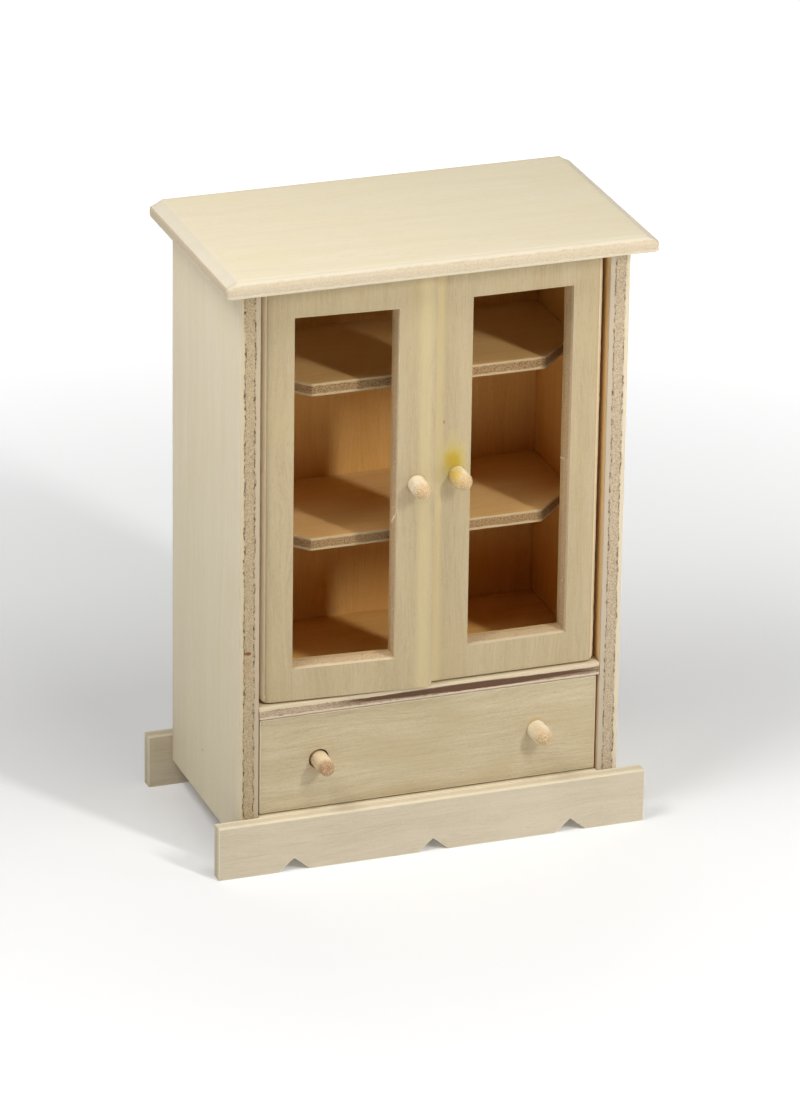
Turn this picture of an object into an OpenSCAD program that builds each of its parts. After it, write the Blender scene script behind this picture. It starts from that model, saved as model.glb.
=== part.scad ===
// Dolls' house display cabinet in raw plywood: two open-windowed doors on hidden
// pivot pins, two shelves behind them, and a drawer under the cupboard floor.
// +Z is up, the front faces -Y, and the origin lies on the floor, centred under
// the cabinet as it stands at rest with its left door a little open.

/* [Carcass] */
// Width over the two side panels
body_w = 95; // [80:1:125]
// Depth of the side panels, front to back
body_d = 50.5; // [45:0.5:65]
// Height of the underside of the top board above the floor
carcass_h = 146; // [125:1:185]
// Thickness of the side panels and the back panel
side_t = 5; // [4:0.25:6.5]
// Height of the lower edge of the sides above the floor
side_lift = 6.5; // [4:0.5:8.5]
// Thickness of the shelves, the cupboard floor and the base board
shelf_t = 3.2; // [2.5:0.1:4]

/* [Top board] */
// Thickness of the top board
top_t = 4; // [3.5:0.25:6]
// Overhang at the left and right
top_over_side = 5; // [3.5:0.5:9]
// Overhang at the front
top_over_front = 5.5; // [3.5:0.5:9]
// Overhang at the rear
top_over_rear = 2; // [0:0.5:3]
// Width of the bevel, measured in from the edge
bevel_in = 3; // [1:0.5:3.5]
// Drop of the bevel, measured down from the top face
bevel_drop = 1.6; // [0.8:0.2:2.4]

/* [Shelves] */
// Height of the middle shelf's top, as a share of the cupboard's height
middle_share = 0.35; // [0.2:0.01:0.45]
// Height of the upper shelf's top, as a share of the cupboard's height
upper_share = 0.72; // [0.55:0.01:0.85]
// Height of the top face of the cupboard floor above the floor
cupboard_z = 41.5; // [36:0.5:52]
// Distance of the shelf front edges behind the front of the sides
shelf_setback = 10.5; // [10:0.5:16]
// Size of the clipped front corners at the left end of the shelves
left_clip = 16; // [4:0.5:18]
// Size of the clipped front corners at the right end of the shelves
right_clip = 11.5; // [4:0.5:18]

/* [Skirting] */
// Height of the skirting boards
skirt_h = 13.4; // [12.5:0.2:17]
// Thickness of the skirting boards
skirt_t = 3.5; // [2.5:0.25:5]
// How far each end of the skirting runs past the side panels
skirt_over = 6; // [2:0.5:9]
// Width of each V-notch at the floor
notch_w = 7.6; // [4:0.2:12]
// Height of each V-notch
notch_h = 3.2; // [1.5:0.1:4.5]
// Distance between neighbouring V-notches
notch_pitch = 34.7; // [18:0.1:38]

/* [Doors] */
// Thickness of the doors
door_t = 6; // [5:0.25:7]
// Distance of the closed doors behind the front of the sides
door_recess = 1; // [0.5:0.25:2]
// Width of the stile beside the hinge
hinge_stile = 8; // [7:0.5:11]
// Width of the stile where the doors meet
meeting_stile = 9; // [7:0.5:12]
// Height of the top and bottom rails
door_rail = 8; // [6:0.5:14]
// Radius of the door's corners on the hinge side, seen from the front
door_corner_r = 2; // [0.5:0.25:3]
// Diameter of the pivot pins
pin_d = 1.2; // [0.8:0.1:1.8]
// Angle at which the left door stands open at rest
left_door_ajar = 4; // [0:0.5:12]

/* [Drawer] */
// Thickness of the drawer front
drawer_front_t = 5; // [3:0.25:6]
// Distance of the drawer front behind the front of the sides
drawer_recess = 0.8; // [0.4:0.2:2]
// Thickness of the drawer's sides and back
drawer_wall_t = 3; // [2:0.25:4]
// Thickness of the drawer's bottom
drawer_bottom_t = 2; // [1.2:0.2:3]
// Height of the drawer's sides and back
drawer_wall_h = 19; // [14:0.5:19]

/* [Knobs] */
// Diameter of the door knobs and their holes
door_knob_d = 4.4; // [3:0.2:5.6]
// How far the door knobs stand out
door_knob_out = 6.25; // [3.5:0.25:8]
// Distance of the left door's knob from the meeting edge
left_knob_inset = 4.25; // [3.5:0.25:6]
// Distance of the right door's knob from the meeting edge
right_knob_inset = 5.75; // [3.5:0.25:6]
// Diameter of the drawer knobs and their holes
drawer_knob_d = 4.8; // [3:0.2:6]
// How far the drawer knobs stand out
drawer_knob_out = 6.2; // [3.5:0.2:8]
// Diameter of the flat end of the tapered left drawer knob
tapered_end_d = 3; // [2:0.2:3]
// Distance between the two drawer knobs
drawer_knob_pitch = 54.4; // [30:0.2:64]

/* [Clearances] */
// Gap around each door: at the sides, above, below and where the doors meet
door_gap = 0.5; // [0.3:0.1:0.8]
// Gap around the drawer front
drawer_gap = 0.4; // [0.3:0.05:0.8]
// Gap between the drawer's sides and the side panels
drawer_side_gap = 0.6; // [0.4:0.05:1]
// Running clearance under the drawer
drawer_lift = 0.3; // [0.2:0.05:0.4]
// Gap between the closed drawer and the back panel
drawer_back_gap = 1; // [0.5:0.25:3]
// Running clearance around each pivot pin, on the radius
pin_clearance = 0.05; // [0.02:0.01:0.08]
// Cut-through allowance that keeps openings clean
cut = 1; // [0.5:0.5:2]

/* [Hidden] */
$fn = 64;

// Wood tones
ply_face = [0.86, 0.78, 0.62];
ply_warm = [0.80, 0.70, 0.53];
dowel_wood = [0.82, 0.69, 0.50];
pin_steel = [0.62, 0.62, 0.60];

// Carcass, measured from the centre of the side panels
front_y = -body_d / 2;
rear_y = body_d / 2;
inner_w = body_w - 2 * side_t;
inner_x = inner_w / 2;
back_y = rear_y - side_t;
base_top = skirt_h;
cupboard_h = carcass_h - cupboard_z;
skirt_len = body_w + 2 * skirt_over;

// Doors
pivot_r = door_t / 2;
pivot_x = inner_x - door_gap - pivot_r;
pivot_y = front_y + door_recess + pivot_r;
door_w = inner_x - 1.5 * door_gap;
door_z = cupboard_z + door_gap;
door_h = cupboard_h - 2 * door_gap;
window_w = door_w - hinge_stile - meeting_stile;
window_h = door_h - 2 * door_rail;
pin_in_door = door_rail * 0.6;
pin_in_top = top_t * 0.6;
pin_in_floor = shelf_t * 0.75;
knob_z = door_h / 2;

// Drawer
drawer_front_y = front_y + drawer_recess;
drawer_front_w = inner_w - 2 * drawer_gap;
drawer_z = base_top + drawer_lift;
drawer_front_h = cupboard_z - shelf_t - drawer_gap - drawer_z;
drawer_box_y = drawer_front_y + drawer_front_t;
drawer_box_l = back_y - drawer_back_gap - drawer_box_y;
drawer_box_x = inner_x - drawer_side_gap;
drawer_bottom_lift = 1.2;
drawer_knob_z = drawer_z + drawer_front_h / 2;

// Extent at rest, front to back, which places the origin
knob_ball_r = door_knob_d / 2;
ajar_reach = (knob_x(-1) - pivot_r) * sin(left_door_ajar)
    + (pivot_r + door_knob_out - knob_ball_r) * cos(left_door_ajar) + knob_ball_r;
front_most = min(front_y - top_over_front, front_y - skirt_t, pivot_y - ajar_reach,
    drawer_front_y - drawer_knob_out);
rear_most = rear_y + max(skirt_t, top_over_rear);
centre_y = (front_most + rear_most) / 2;

// How far a door's knob stands from its hinge edge
function knob_x(side) = door_w - (side < 0 ? left_knob_inset : right_knob_inset);

// A cuboid standing on z, centred on x, running back from y
module board(w, y, d, z, h) {
    translate([-w / 2, y, z]) cube([w, d, h]);
}

// Children are moved from carcass coordinates to the model's own origin
module placed() {
    translate([0, -centre_y, 0]) children();
}

// The top board's outline across one direction, bevelled at one or both ends
module bevelled(length, far_bevel) {
    far = far_bevel ? bevel_in : 0;
    far_drop = far_bevel ? bevel_drop : 0;
    polygon([[0, 0], [length, 0], [length, top_t - far_drop],
        [length - far, top_t], [bevel_in, top_t], [0, top_t - bevel_drop]]);
}

// The two pivot axes of one door; side is -1 for the left door and 1 for the right
module at_pivot(side) {
    translate([side * pivot_x, pivot_y, 0]) children();
}

// The holes or pins of one door: the lower reaches into the floor, the upper into the top
module pivot_rods(r, below, above) {
    translate([0, 0, cupboard_z - below]) cylinder(r = r, h = below + door_gap + pin_in_door);
    translate([0, 0, carcass_h - door_gap - pin_in_door])
        cylinder(r = r, h = pin_in_door + door_gap + above);
}

module top_board() {
    w = body_w + 2 * top_over_side;
    d = body_d + top_over_front + top_over_rear;
    color(ply_face) placed() difference() {
        intersection() {
            translate([-w / 2, rear_y + top_over_rear, carcass_h])
                rotate([90, 0, 0]) linear_extrude(d) bevelled(w, true);
            translate([-w / 2, front_y - top_over_front, carcass_h])
                rotate([90, 0, 90]) linear_extrude(w) bevelled(d, false);
        }
        for (side = [-1, 1]) at_pivot(side)
            translate([0, 0, carcass_h - cut]) cylinder(r = pin_d / 2, h = cut + pin_in_top);
    }
}

module side_panel(side) {
    color(ply_face) placed()
        translate([side * (inner_x + side_t / 2), 0, 0])
            board(side_t, front_y, body_d, side_lift, carcass_h - side_lift);
}

module left_side() side_panel(-1);

module right_side() side_panel(1);

module back_panel() {
    color(ply_warm) placed()
        board(inner_w, back_y, side_t, side_lift, carcass_h - side_lift);
}

// A shelf with clipped front corners; share sets its height within the cupboard
module shelf(share) {
    front = front_y + shelf_setback;
    color(ply_warm) placed()
        translate([0, 0, cupboard_z + share * cupboard_h - shelf_t]) linear_extrude(shelf_t)
            polygon([[-inner_x, back_y], [inner_x, back_y],
                [inner_x, front + right_clip], [inner_x - right_clip, front],
                [left_clip - inner_x, front], [-inner_x, front + left_clip]]);
}

module upper_shelf() shelf(upper_share);

module middle_shelf() shelf(middle_share);

module cupboard_floor() {
    color(ply_warm) placed() difference() {
        board(inner_w, front_y, back_y - front_y, cupboard_z - shelf_t, shelf_t);
        for (side = [-1, 1]) at_pivot(side)
            translate([0, 0, cupboard_z - pin_in_floor])
                cylinder(r = pin_d / 2, h = pin_in_floor + cut);
    }
}

module base_board() {
    color(ply_warm) placed()
        board(inner_w, front_y, back_y - front_y, base_top - shelf_t, shelf_t);
}

// A skirting board that starts at y, with three V-notches in its lower edge
module skirting(y) {
    color(ply_face) placed() difference() {
        board(skirt_len, y, skirt_t, 0, skirt_h);
        for (i = [-1:1]) translate([i * notch_pitch, y + skirt_t + cut, 0])
            rotate([90, 0, 0]) linear_extrude(skirt_t + 2 * cut)
                polygon([[-notch_w / 2, 0], [0, notch_h], [notch_w / 2, 0], [0, -notch_h]]);
    }
}

module front_skirting() skirting(front_y - skirt_t);

module rear_skirting() skirting(rear_y);

// A door seen from the front, from its hinge edge at x = 0, with the window cut out
module door_outline() {
    difference() {
        union() {
            translate([door_corner_r, 0]) square([door_w - door_corner_r, door_h]);
            translate([0, door_corner_r]) square([door_w, door_h - 2 * door_corner_r]);
            for (z = [door_corner_r, door_h - door_corner_r])
                translate([door_corner_r, z]) circle(r = door_corner_r);
        }
        translate([hinge_stile, door_rail]) square([window_w, window_h]);
    }
}

// A door seen from above, its hinge edge rounded about the pivot axis
module door_plan() {
    translate([pivot_r, 0]) circle(r = pivot_r);
    translate([pivot_r, -pivot_r]) square([door_w - pivot_r, door_t]);
}

// Children are drawn from the hinge edge of a closed left door and set in place;
// the right door is the mirror image
module hung(side) {
    placed() mirror([side > 0 ? 1 : 0, 0, 0])
        translate([-pivot_x, pivot_y, 0])
            rotate([0, 0, side < 0 ? -left_door_ajar : 0])
                translate([-pivot_r, 0, 0]) children();
}

module door(side) {
    color(ply_face) hung(side) difference() {
        translate([0, 0, door_z]) intersection() {
            linear_extrude(door_h) door_plan();
            translate([0, pivot_r, 0]) rotate([90, 0, 0]) linear_extrude(door_t) door_outline();
        }
        translate([pivot_r, 0, 0]) {
            translate([0, 0, door_z - cut])
                cylinder(r = pin_d / 2 + pin_clearance, h = cut + pin_in_door + pin_clearance);
            translate([0, 0, door_z + door_h - pin_in_door - pin_clearance])
                cylinder(r = pin_d / 2 + pin_clearance, h = cut + pin_in_door + pin_clearance);
        }
        translate([knob_x(side), pivot_r + cut, door_z + knob_z]) rotate([90, 0, 0])
            cylinder(r = door_knob_d / 2, h = door_t + 2 * cut);
    }
}

module left_door() door(-1);

module right_door() door(1);

module door_pins(side) {
    color(pin_steel) placed() at_pivot(side)
        pivot_rods(pin_d / 2, pin_in_floor, pin_in_top);
}

module left_door_pins() door_pins(-1);

module right_door_pins() door_pins(1);

// A dowel that fills a hole of the given depth and stands out with a round end
module round_peg(d, depth, out) {
    rotate([90, 0, 0]) {
        translate([0, 0, -depth]) cylinder(r = d / 2, h = depth + out - d / 2);
        translate([0, 0, out - d / 2]) sphere(r = d / 2);
    }
}

// A dowel that fills a hole of the given depth and tapers to a flat end
module tapered_peg(d, end_d, depth, out) {
    rotate([90, 0, 0]) {
        translate([0, 0, -depth]) cylinder(r = d / 2, h = depth + out * 0.3);
        translate([0, 0, out * 0.3]) cylinder(r1 = d / 2, r2 = end_d / 2, h = out * 0.7);
    }
}

module door_knob(side) {
    color(dowel_wood) hung(side) translate([knob_x(side), -pivot_r, door_z + knob_z])
        round_peg(door_knob_d, door_t, door_knob_out);
}

module left_door_knob() door_knob(-1);

module right_door_knob() door_knob(1);

module drawer_front() {
    color(ply_face) placed() difference() {
        board(drawer_front_w, drawer_front_y, drawer_front_t, drawer_z, drawer_front_h);
        for (side = [-1, 1])
            translate([side * drawer_knob_pitch / 2, drawer_front_y - cut, drawer_knob_z])
                rotate([-90, 0, 0])
                    cylinder(r = drawer_knob_d / 2, h = drawer_front_t + 2 * cut);
    }
}

module drawer_side(side) {
    color(ply_warm) placed()
        translate([side * (drawer_box_x - drawer_wall_t / 2), 0, 0])
            board(drawer_wall_t, drawer_box_y, drawer_box_l, drawer_z, drawer_wall_h);
}

module drawer_left_side() drawer_side(-1);

module drawer_right_side() drawer_side(1);

module drawer_back() {
    color(ply_warm) placed()
        board(2 * (drawer_box_x - drawer_wall_t), drawer_box_y + drawer_box_l - drawer_wall_t,
            drawer_wall_t, drawer_z, drawer_wall_h);
}

module drawer_bottom() {
    color(ply_warm) placed()
        board(2 * (drawer_box_x - drawer_wall_t), drawer_box_y, drawer_box_l - drawer_wall_t,
            drawer_z + drawer_bottom_lift, drawer_bottom_t);
}

module drawer_left_knob() {
    color(dowel_wood) placed()
        translate([-drawer_knob_pitch / 2, drawer_front_y, drawer_knob_z])
            tapered_peg(drawer_knob_d, tapered_end_d, drawer_front_t, drawer_knob_out);
}

module drawer_right_knob() {
    color(dowel_wood) placed()
        translate([drawer_knob_pitch / 2, drawer_front_y, drawer_knob_z])
            round_peg(drawer_knob_d, drawer_front_t, drawer_knob_out);
}

top_board();
left_side();
right_side();
back_panel();
upper_shelf();
middle_shelf();
cupboard_floor();
base_board();
front_skirting();
rear_skirting();
left_door();
right_door();
left_door_pins();
right_door_pins();
left_door_knob();
right_door_knob();
drawer_front();
drawer_left_side();
drawer_right_side();
drawer_back();
drawer_bottom();
drawer_left_knob();
drawer_right_knob();
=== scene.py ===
"""Looks for a dolls' house display cabinet in raw plywood.

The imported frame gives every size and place. Each board is built again as a fine mesh with
eased edges and rough cuts, and dressed with veneer on its faces and plies on its edges.
"""
import logging
import math
import random
from dataclasses import dataclass, field
from enum import Enum
from typing import Any, Callable, Optional, Sequence, Union

import bmesh
import bpy
from mathutils import Matrix, Vector, noise


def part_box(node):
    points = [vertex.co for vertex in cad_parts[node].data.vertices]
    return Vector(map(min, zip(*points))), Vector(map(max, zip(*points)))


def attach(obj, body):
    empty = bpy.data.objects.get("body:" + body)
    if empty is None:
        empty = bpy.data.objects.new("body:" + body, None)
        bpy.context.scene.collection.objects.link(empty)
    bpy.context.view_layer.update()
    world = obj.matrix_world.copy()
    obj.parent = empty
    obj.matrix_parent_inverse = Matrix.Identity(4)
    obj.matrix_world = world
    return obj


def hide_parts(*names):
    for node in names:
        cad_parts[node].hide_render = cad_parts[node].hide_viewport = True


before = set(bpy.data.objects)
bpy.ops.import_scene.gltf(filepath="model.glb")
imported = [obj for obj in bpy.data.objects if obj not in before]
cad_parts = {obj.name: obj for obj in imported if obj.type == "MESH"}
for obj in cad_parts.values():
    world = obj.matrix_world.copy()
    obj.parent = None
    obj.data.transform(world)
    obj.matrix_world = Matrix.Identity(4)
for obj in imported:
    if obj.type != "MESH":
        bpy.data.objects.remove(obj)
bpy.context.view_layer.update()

MM = 0.001
X, Y, Z = Vector((1, 0, 0)), Vector((0, 1, 0)), Vector((0, 0, 1))
LOG = logging.getLogger("cabinet")

Colour = tuple[float, float, float]
Place = tuple[float, float, float]
Warp = Callable[[float, float, float], Place]
Chart = Callable[[Vector], tuple[Vector, float]]
Fed = Union[bpy.types.NodeSocket, float, Sequence[float]]


class Side(Enum):
    """Which side of the cabinet, as the sign of X."""

    LEFT = -1
    RIGHT = 1


class Surface(Enum):
    """Material slots of a board: its two faces, its cut edges, and a bevel."""

    NEAR = 0
    FAR = 1
    EDGE = 2
    BEVEL = 3


# ---------------------------------------------------------------- shader graphs


MIX_COLOUR_INPUTS, MIX_COLOUR_OUTPUT = (0, 6, 7), 2


class Graph:
    """A node tree that is being wired up."""

    def __init__(self, tree: bpy.types.NodeTree) -> None:
        """Args:
            tree: the node tree to add to.
        """
        self.tree = tree

    def add(self, kind: str, inputs: Optional[dict[Union[str, int], Fed]] = None,
            **settings: Any) -> bpy.types.Node:
        """Adds one node.

        Args:
            kind: the node's Blender type name.
            inputs: socket name or index to a value or to a socket to link from.
            settings: attributes of the node.

        Returns:
            The new node.
        """
        node = self.tree.nodes.new(kind)
        for key, value in settings.items():
            setattr(node, key, value)
        for key, value in (inputs or {}).items():
            self.feed(node.inputs[key], value)
        return node

    def feed(self, socket: bpy.types.NodeSocket, value: Fed) -> None:
        """Links a socket, or sets its value.

        Args:
            socket: the input to feed.
            value: a socket to link from, or a plain value.
        """
        if isinstance(value, bpy.types.NodeSocket):
            self.tree.links.new(value, socket)
        elif socket.type == "RGBA":
            socket.default_value = (*value[:3], 1.0)
        else:
            socket.default_value = value

    def math(self, operation: str, *values: Fed, clamp: bool = False
             ) -> bpy.types.NodeSocket:
        """Returns the result of a Math node on the given values or sockets."""
        node = self.add("ShaderNodeMath", dict(enumerate(values)), operation=operation)
        node.use_clamp = clamp
        return node.outputs[0]

    def scaled(self, vector: Fed, scale: Place) -> bpy.types.NodeSocket:
        """Returns a vector multiplied by a vector."""
        return self.add("ShaderNodeVectorMath", {0: vector, 1: scale},
                        operation="MULTIPLY").outputs[0]

    def noise(self, vector: Fed, scale: float = 1.0, detail: float = 2.0,
              rough: float = 0.5) -> bpy.types.NodeSocket:
        """Returns the value of a noise texture."""
        return self.add("ShaderNodeTexNoise", {
            "Vector": vector, "Scale": scale, "Detail": detail, "Roughness": rough,
        }).outputs["Fac"]

    def band(self, value: Fed, low: float, high: Fed, to_low: float = 0.0,
             to_high: float = 1.0) -> bpy.types.NodeSocket:
        """Returns a value mapped smoothly from one range to another."""
        return self.add("ShaderNodeMapRange", {
            "Value": value, "From Min": low, "From Max": high,
            "To Min": to_low, "To Max": to_high,
        }, interpolation_type="SMOOTHSTEP").outputs["Result"]

    def mix(self, factor: Fed, first: Fed, second: Fed, blend: str = "MIX"
            ) -> bpy.types.NodeSocket:
        """Returns two colours mixed by a factor."""
        node = self.add("ShaderNodeMix", data_type="RGBA", blend_type=blend)
        for index, value in zip(MIX_COLOUR_INPUTS, (factor, first, second)):
            self.feed(node.inputs[index], value)
        return node.outputs[MIX_COLOUR_OUTPUT]

    def sum(self, *values: Fed) -> bpy.types.NodeSocket:
        """Returns the sum of values or sockets."""
        total = values[0]
        for value in values[1:]:
            total = self.math("ADD", total, value)
        return total

    def group(self, group: bpy.types.NodeTree, **inputs: Fed) -> bpy.types.Node:
        """Places a shader node group.

        Args:
            group: the group.
            inputs: its input names, in small letters with _ for a space, to values.

        Returns:
            The group's node.
        """
        node = self.add("ShaderNodeGroup", node_tree=group)
        for word, value in inputs.items():
            self.feed(node.inputs[word.replace("_", " ").title()], value)
        return node

    def chart(self) -> bpy.types.NodeSocket:
        """Returns the place on the board, in millimetres, with the grain along X."""
        return self.add("ShaderNodeAttribute", attribute_name="board").outputs["Vector"]

    def across(self) -> bpy.types.NodeSocket:
        """Returns how far through the board a point lies, from 0 to 1."""
        return self.add("ShaderNodeAttribute", attribute_name="across").outputs["Fac"]

    def bump(self, shader: bpy.types.Node, height: Fed, strength: float,
             distance: float) -> None:
        """Gives a shader a relief.

        Args:
            shader: the Principled BSDF.
            height: the relief's height, about 0 to 1.
            strength: how strong it is.
            distance: the depth that a height of 1 stands for, in metres.
        """
        relief = self.add("ShaderNodeBump", {"Height": height, "Strength": strength,
                                             "Distance": distance})
        self.feed(shader.inputs["Normal"], relief.outputs[0])


def new_group(name: str, takes: dict[str, str], gives: dict[str, str]
              ) -> tuple[bpy.types.NodeTree, Graph, bpy.types.Node, bpy.types.Node]:
    """Starts a shader node group.

    Args:
        name: the group's name.
        takes: input names to socket types.
        gives: output names to socket types.

    Returns:
        The group, its graph, and its input and output nodes.
    """
    tree = bpy.data.node_groups.new(name, "ShaderNodeTree")
    for label, kind in takes.items():
        tree.interface.new_socket(name=label, in_out="INPUT", socket_type=kind)
    for label, kind in gives.items():
        tree.interface.new_socket(name=label, in_out="OUTPUT", socket_type=kind)
    graph = Graph(tree)
    return tree, graph, graph.add("NodeGroupInput"), graph.add("NodeGroupOutput")


FLOAT, VECTOR, COLOUR = "NodeSocketFloat", "NodeSocketVector", "NodeSocketColor"


@dataclass(frozen=True)
class Pattern:
    """One noise of a wood surface, cut down to the part that shows.

    Attributes:
        scale: its fineness along, across and through the wood, per millimetre.
        detail: how many finer noises are laid over it.
        rough: how strong those are.
        low: the noise value where it starts to show.
        high: the noise value where it shows fully.
        weight: how much it shows there.
    """

    scale: Place
    detail: float
    rough: float = 0.5
    low: float = 0.0
    high: float = 1.0
    weight: float = 1.0

    def noise(self, g: Graph, place: Fed) -> bpy.types.NodeSocket:
        """Returns the whole noise at a place."""
        return g.noise(g.scaled(place, self.scale), 1.0, self.detail, self.rough)

    def shown(self, g: Graph, noise_value: Fed) -> bpy.types.NodeSocket:
        """Returns the part of the noise that shows."""
        return g.band(noise_value, self.low, self.high, 0.0, self.weight)


GRAIN_DRIFT = Pattern((0.02, 0.10, 0.10), 2.0)
GRAIN_SWAY = (0.0, 9.0, 0.0)
GRAIN_BANDS = Pattern((0.012, 0.22, 0.22), 3.0, 0.55, 0.36, 0.66, 0.34)
GRAIN_STREAKS = Pattern((0.07, 2.3, 2.3), 4.0, 0.62, 0.35, 0.68, 0.36)
GRAIN_HAIRS = Pattern((0.28, 7.5, 7.5), 3.0, 0.6, 0.40, 0.72, 0.40)
GRAIN_FUZZ = Pattern((1.5, 3.4, 3.4), 3.0, 0.7, 0.40, 0.72, 0.36)
GRAIN_BLOTCHES = Pattern((0.05, 0.09, 0.09), 2.0, 0.5, 0.42, 0.70, 0.55)
GRAIN_PORES = Pattern((0.5, 6.0, 6.0), 1.0, 0.5, 0.64, 0.74)
PORE_SHADE, PORE_DEPTH = 0.16, 0.5
HAIR_HEIGHT, STREAK_HEIGHT = 0.6, 0.5


def grain_group() -> bpy.types.NodeTree:
    """Builds the veneer grain: broad bands, fine streaks and short pores along X.

    Returns:
        A group whose coordinates are in millimetres.
    """
    tree, g, given, out = new_group(
        "veneer_grain",
        {"Place": VECTOR, "Light": COLOUR, "Dark": COLOUR, "Tint": COLOUR,
         "Contrast": FLOAT},
        {"Color": COLOUR, "Height": FLOAT, "Streak": FLOAT})
    place = given.outputs["Place"]
    drift = GRAIN_DRIFT.noise(g, place)
    sway = g.scaled(g.add("ShaderNodeCombineXYZ", {"Y": drift}).outputs[0], GRAIN_SWAY)
    swayed = g.add("ShaderNodeVectorMath", {0: place, 1: sway},
                   operation="ADD").outputs[0]
    bands = GRAIN_BANDS.noise(g, swayed)
    streaks = GRAIN_STREAKS.noise(g, swayed)
    hairs = GRAIN_HAIRS.noise(g, swayed)
    fuzz = GRAIN_FUZZ.noise(g, place)
    pores = GRAIN_PORES.shown(g, GRAIN_PORES.noise(g, swayed))
    blotches = GRAIN_BLOTCHES.shown(g, GRAIN_BLOTCHES.noise(g, place))
    lines = g.sum(GRAIN_BANDS.shown(g, bands), GRAIN_STREAKS.shown(g, streaks),
                  GRAIN_HAIRS.shown(g, hairs), GRAIN_FUZZ.shown(g, fuzz))
    depth = g.math("MULTIPLY", lines, given.outputs["Contrast"], clamp=True)
    toned = g.mix(depth, given.outputs["Light"], given.outputs["Dark"])
    tinted = g.mix(blotches, toned, given.outputs["Tint"])
    g.feed(out.inputs["Color"], g.mix(g.math("MULTIPLY", pores, PORE_SHADE), tinted,
                                      given.outputs["Dark"], "MULTIPLY"))
    height = g.math("SUBTRACT", g.math("MULTIPLY", hairs, HAIR_HEIGHT),
                    g.math("MULTIPLY", pores, PORE_DEPTH))
    g.feed(out.inputs["Height"],
           g.sum(height, g.math("MULTIPLY", streaks, STREAK_HEIGHT)))
    g.feed(out.inputs["Streak"], streaks)
    return tree


PLY_WANDER = Pattern((0.35, 0.35, 0.0), 3.0, weight=0.16)
PLY_FLECKS = Pattern((2.6, 2.6, 3.4), 3.0, 0.65, 0.40, 0.66)
PLY_FUZZ = Pattern((6.0, 6.0, 9.0), 2.0, 0.6, 0.40, 0.70)
PLY_DOTS = Pattern((0.9, 0.9, 1.5), 4.0, 0.7, 0.40, 0.66)
PLY_SWELL = Pattern((0.45, 0.45, 0.6), 3.0, 0.6, 0.30, 0.72)
THIN_LINE, THICK_LINE = 0.45, 2.1
LINE_SHOWS = (0.05, 0.75)
CORE_FADE = (-0.06, 0.05)
MIDDLE_FADE = (0.45, 0.55)
VENEER_FUZZ = 0.28
FLECK_HEIGHT, FUZZ_HEIGHT, LINE_DEPTH = 0.7, 0.5, 1.4


def plies_group() -> bpy.types.NodeTree:
    """Builds the cut edge of plywood: two veneers, a rough core and dotted glue lines.

    Returns:
        A group whose Across runs from 0 to 1 through the board.
    """
    tree, g, given, out = new_group(
        "ply_layers",
        {"Place": VECTOR, "Across": FLOAT, "First Veneer": COLOUR, "Core": COLOUR,
         "Last Veneer": COLOUR, "Glue": COLOUR, "First Line": FLOAT,
         "Last Line": FLOAT, "Line Width": FLOAT, "Dots": FLOAT, "Speckle": FLOAT},
        {"Color": COLOUR, "Height": FLOAT})
    place = given.outputs["Place"]
    wander = g.math("SUBTRACT", PLY_WANDER.noise(g, place), 0.5)
    across = g.sum(given.outputs["Across"],
                   g.math("MULTIPLY", wander, PLY_WANDER.weight))
    flecks = PLY_FLECKS.noise(g, place)
    fuzz = PLY_FUZZ.noise(g, place)
    dots = PLY_DOTS.shown(g, PLY_DOTS.noise(g, place))
    width = g.math("MULTIPLY", given.outputs["Line Width"],
                   g.band(PLY_SWELL.noise(g, place), PLY_SWELL.low, PLY_SWELL.high,
                          THIN_LINE, THICK_LINE))
    past, near = [], []
    for label, inward in (("First Line", 1.0), ("Last Line", -1.0)):
        off = g.math("MULTIPLY", g.math("SUBTRACT", across, given.outputs[label]), inward)
        past.append(g.band(off, *CORE_FADE))
        near.append(g.math("SUBTRACT", 1.0,
                           g.math("DIVIDE", g.math("ABSOLUTE", off), width), clamp=True))
    core = g.mix(g.math("MULTIPLY", PLY_FLECKS.shown(g, flecks), given.outputs["Speckle"]),
                 given.outputs["Core"], given.outputs["Glue"])
    outer = g.mix(g.band(across, *MIDDLE_FADE), given.outputs["First Veneer"],
                  given.outputs["Last Veneer"])
    veneer = g.mix(g.math("MULTIPLY", PLY_FUZZ.shown(g, fuzz), VENEER_FUZZ),
                   outer, given.outputs["Core"])
    body = g.mix(g.math("MULTIPLY", *past), veneer, core)
    line = g.band(g.math("MAXIMUM", *near), *LINE_SHOWS)
    broken = g.math("MULTIPLY", line, g.math("MULTIPLY", dots, given.outputs["Dots"]),
                    clamp=True)
    g.feed(out.inputs["Color"], g.mix(broken, body, given.outputs["Glue"]))
    rough = g.sum(g.math("MULTIPLY", flecks, FLECK_HEIGHT),
                  g.math("MULTIPLY", fuzz, FUZZ_HEIGHT))
    g.feed(out.inputs["Height"],
           g.math("SUBTRACT", rough, g.math("MULTIPLY", broken, LINE_DEPTH)))
    return tree


MARK_WAVE = 1.6
MARK_DETAIL = 3.0


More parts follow.
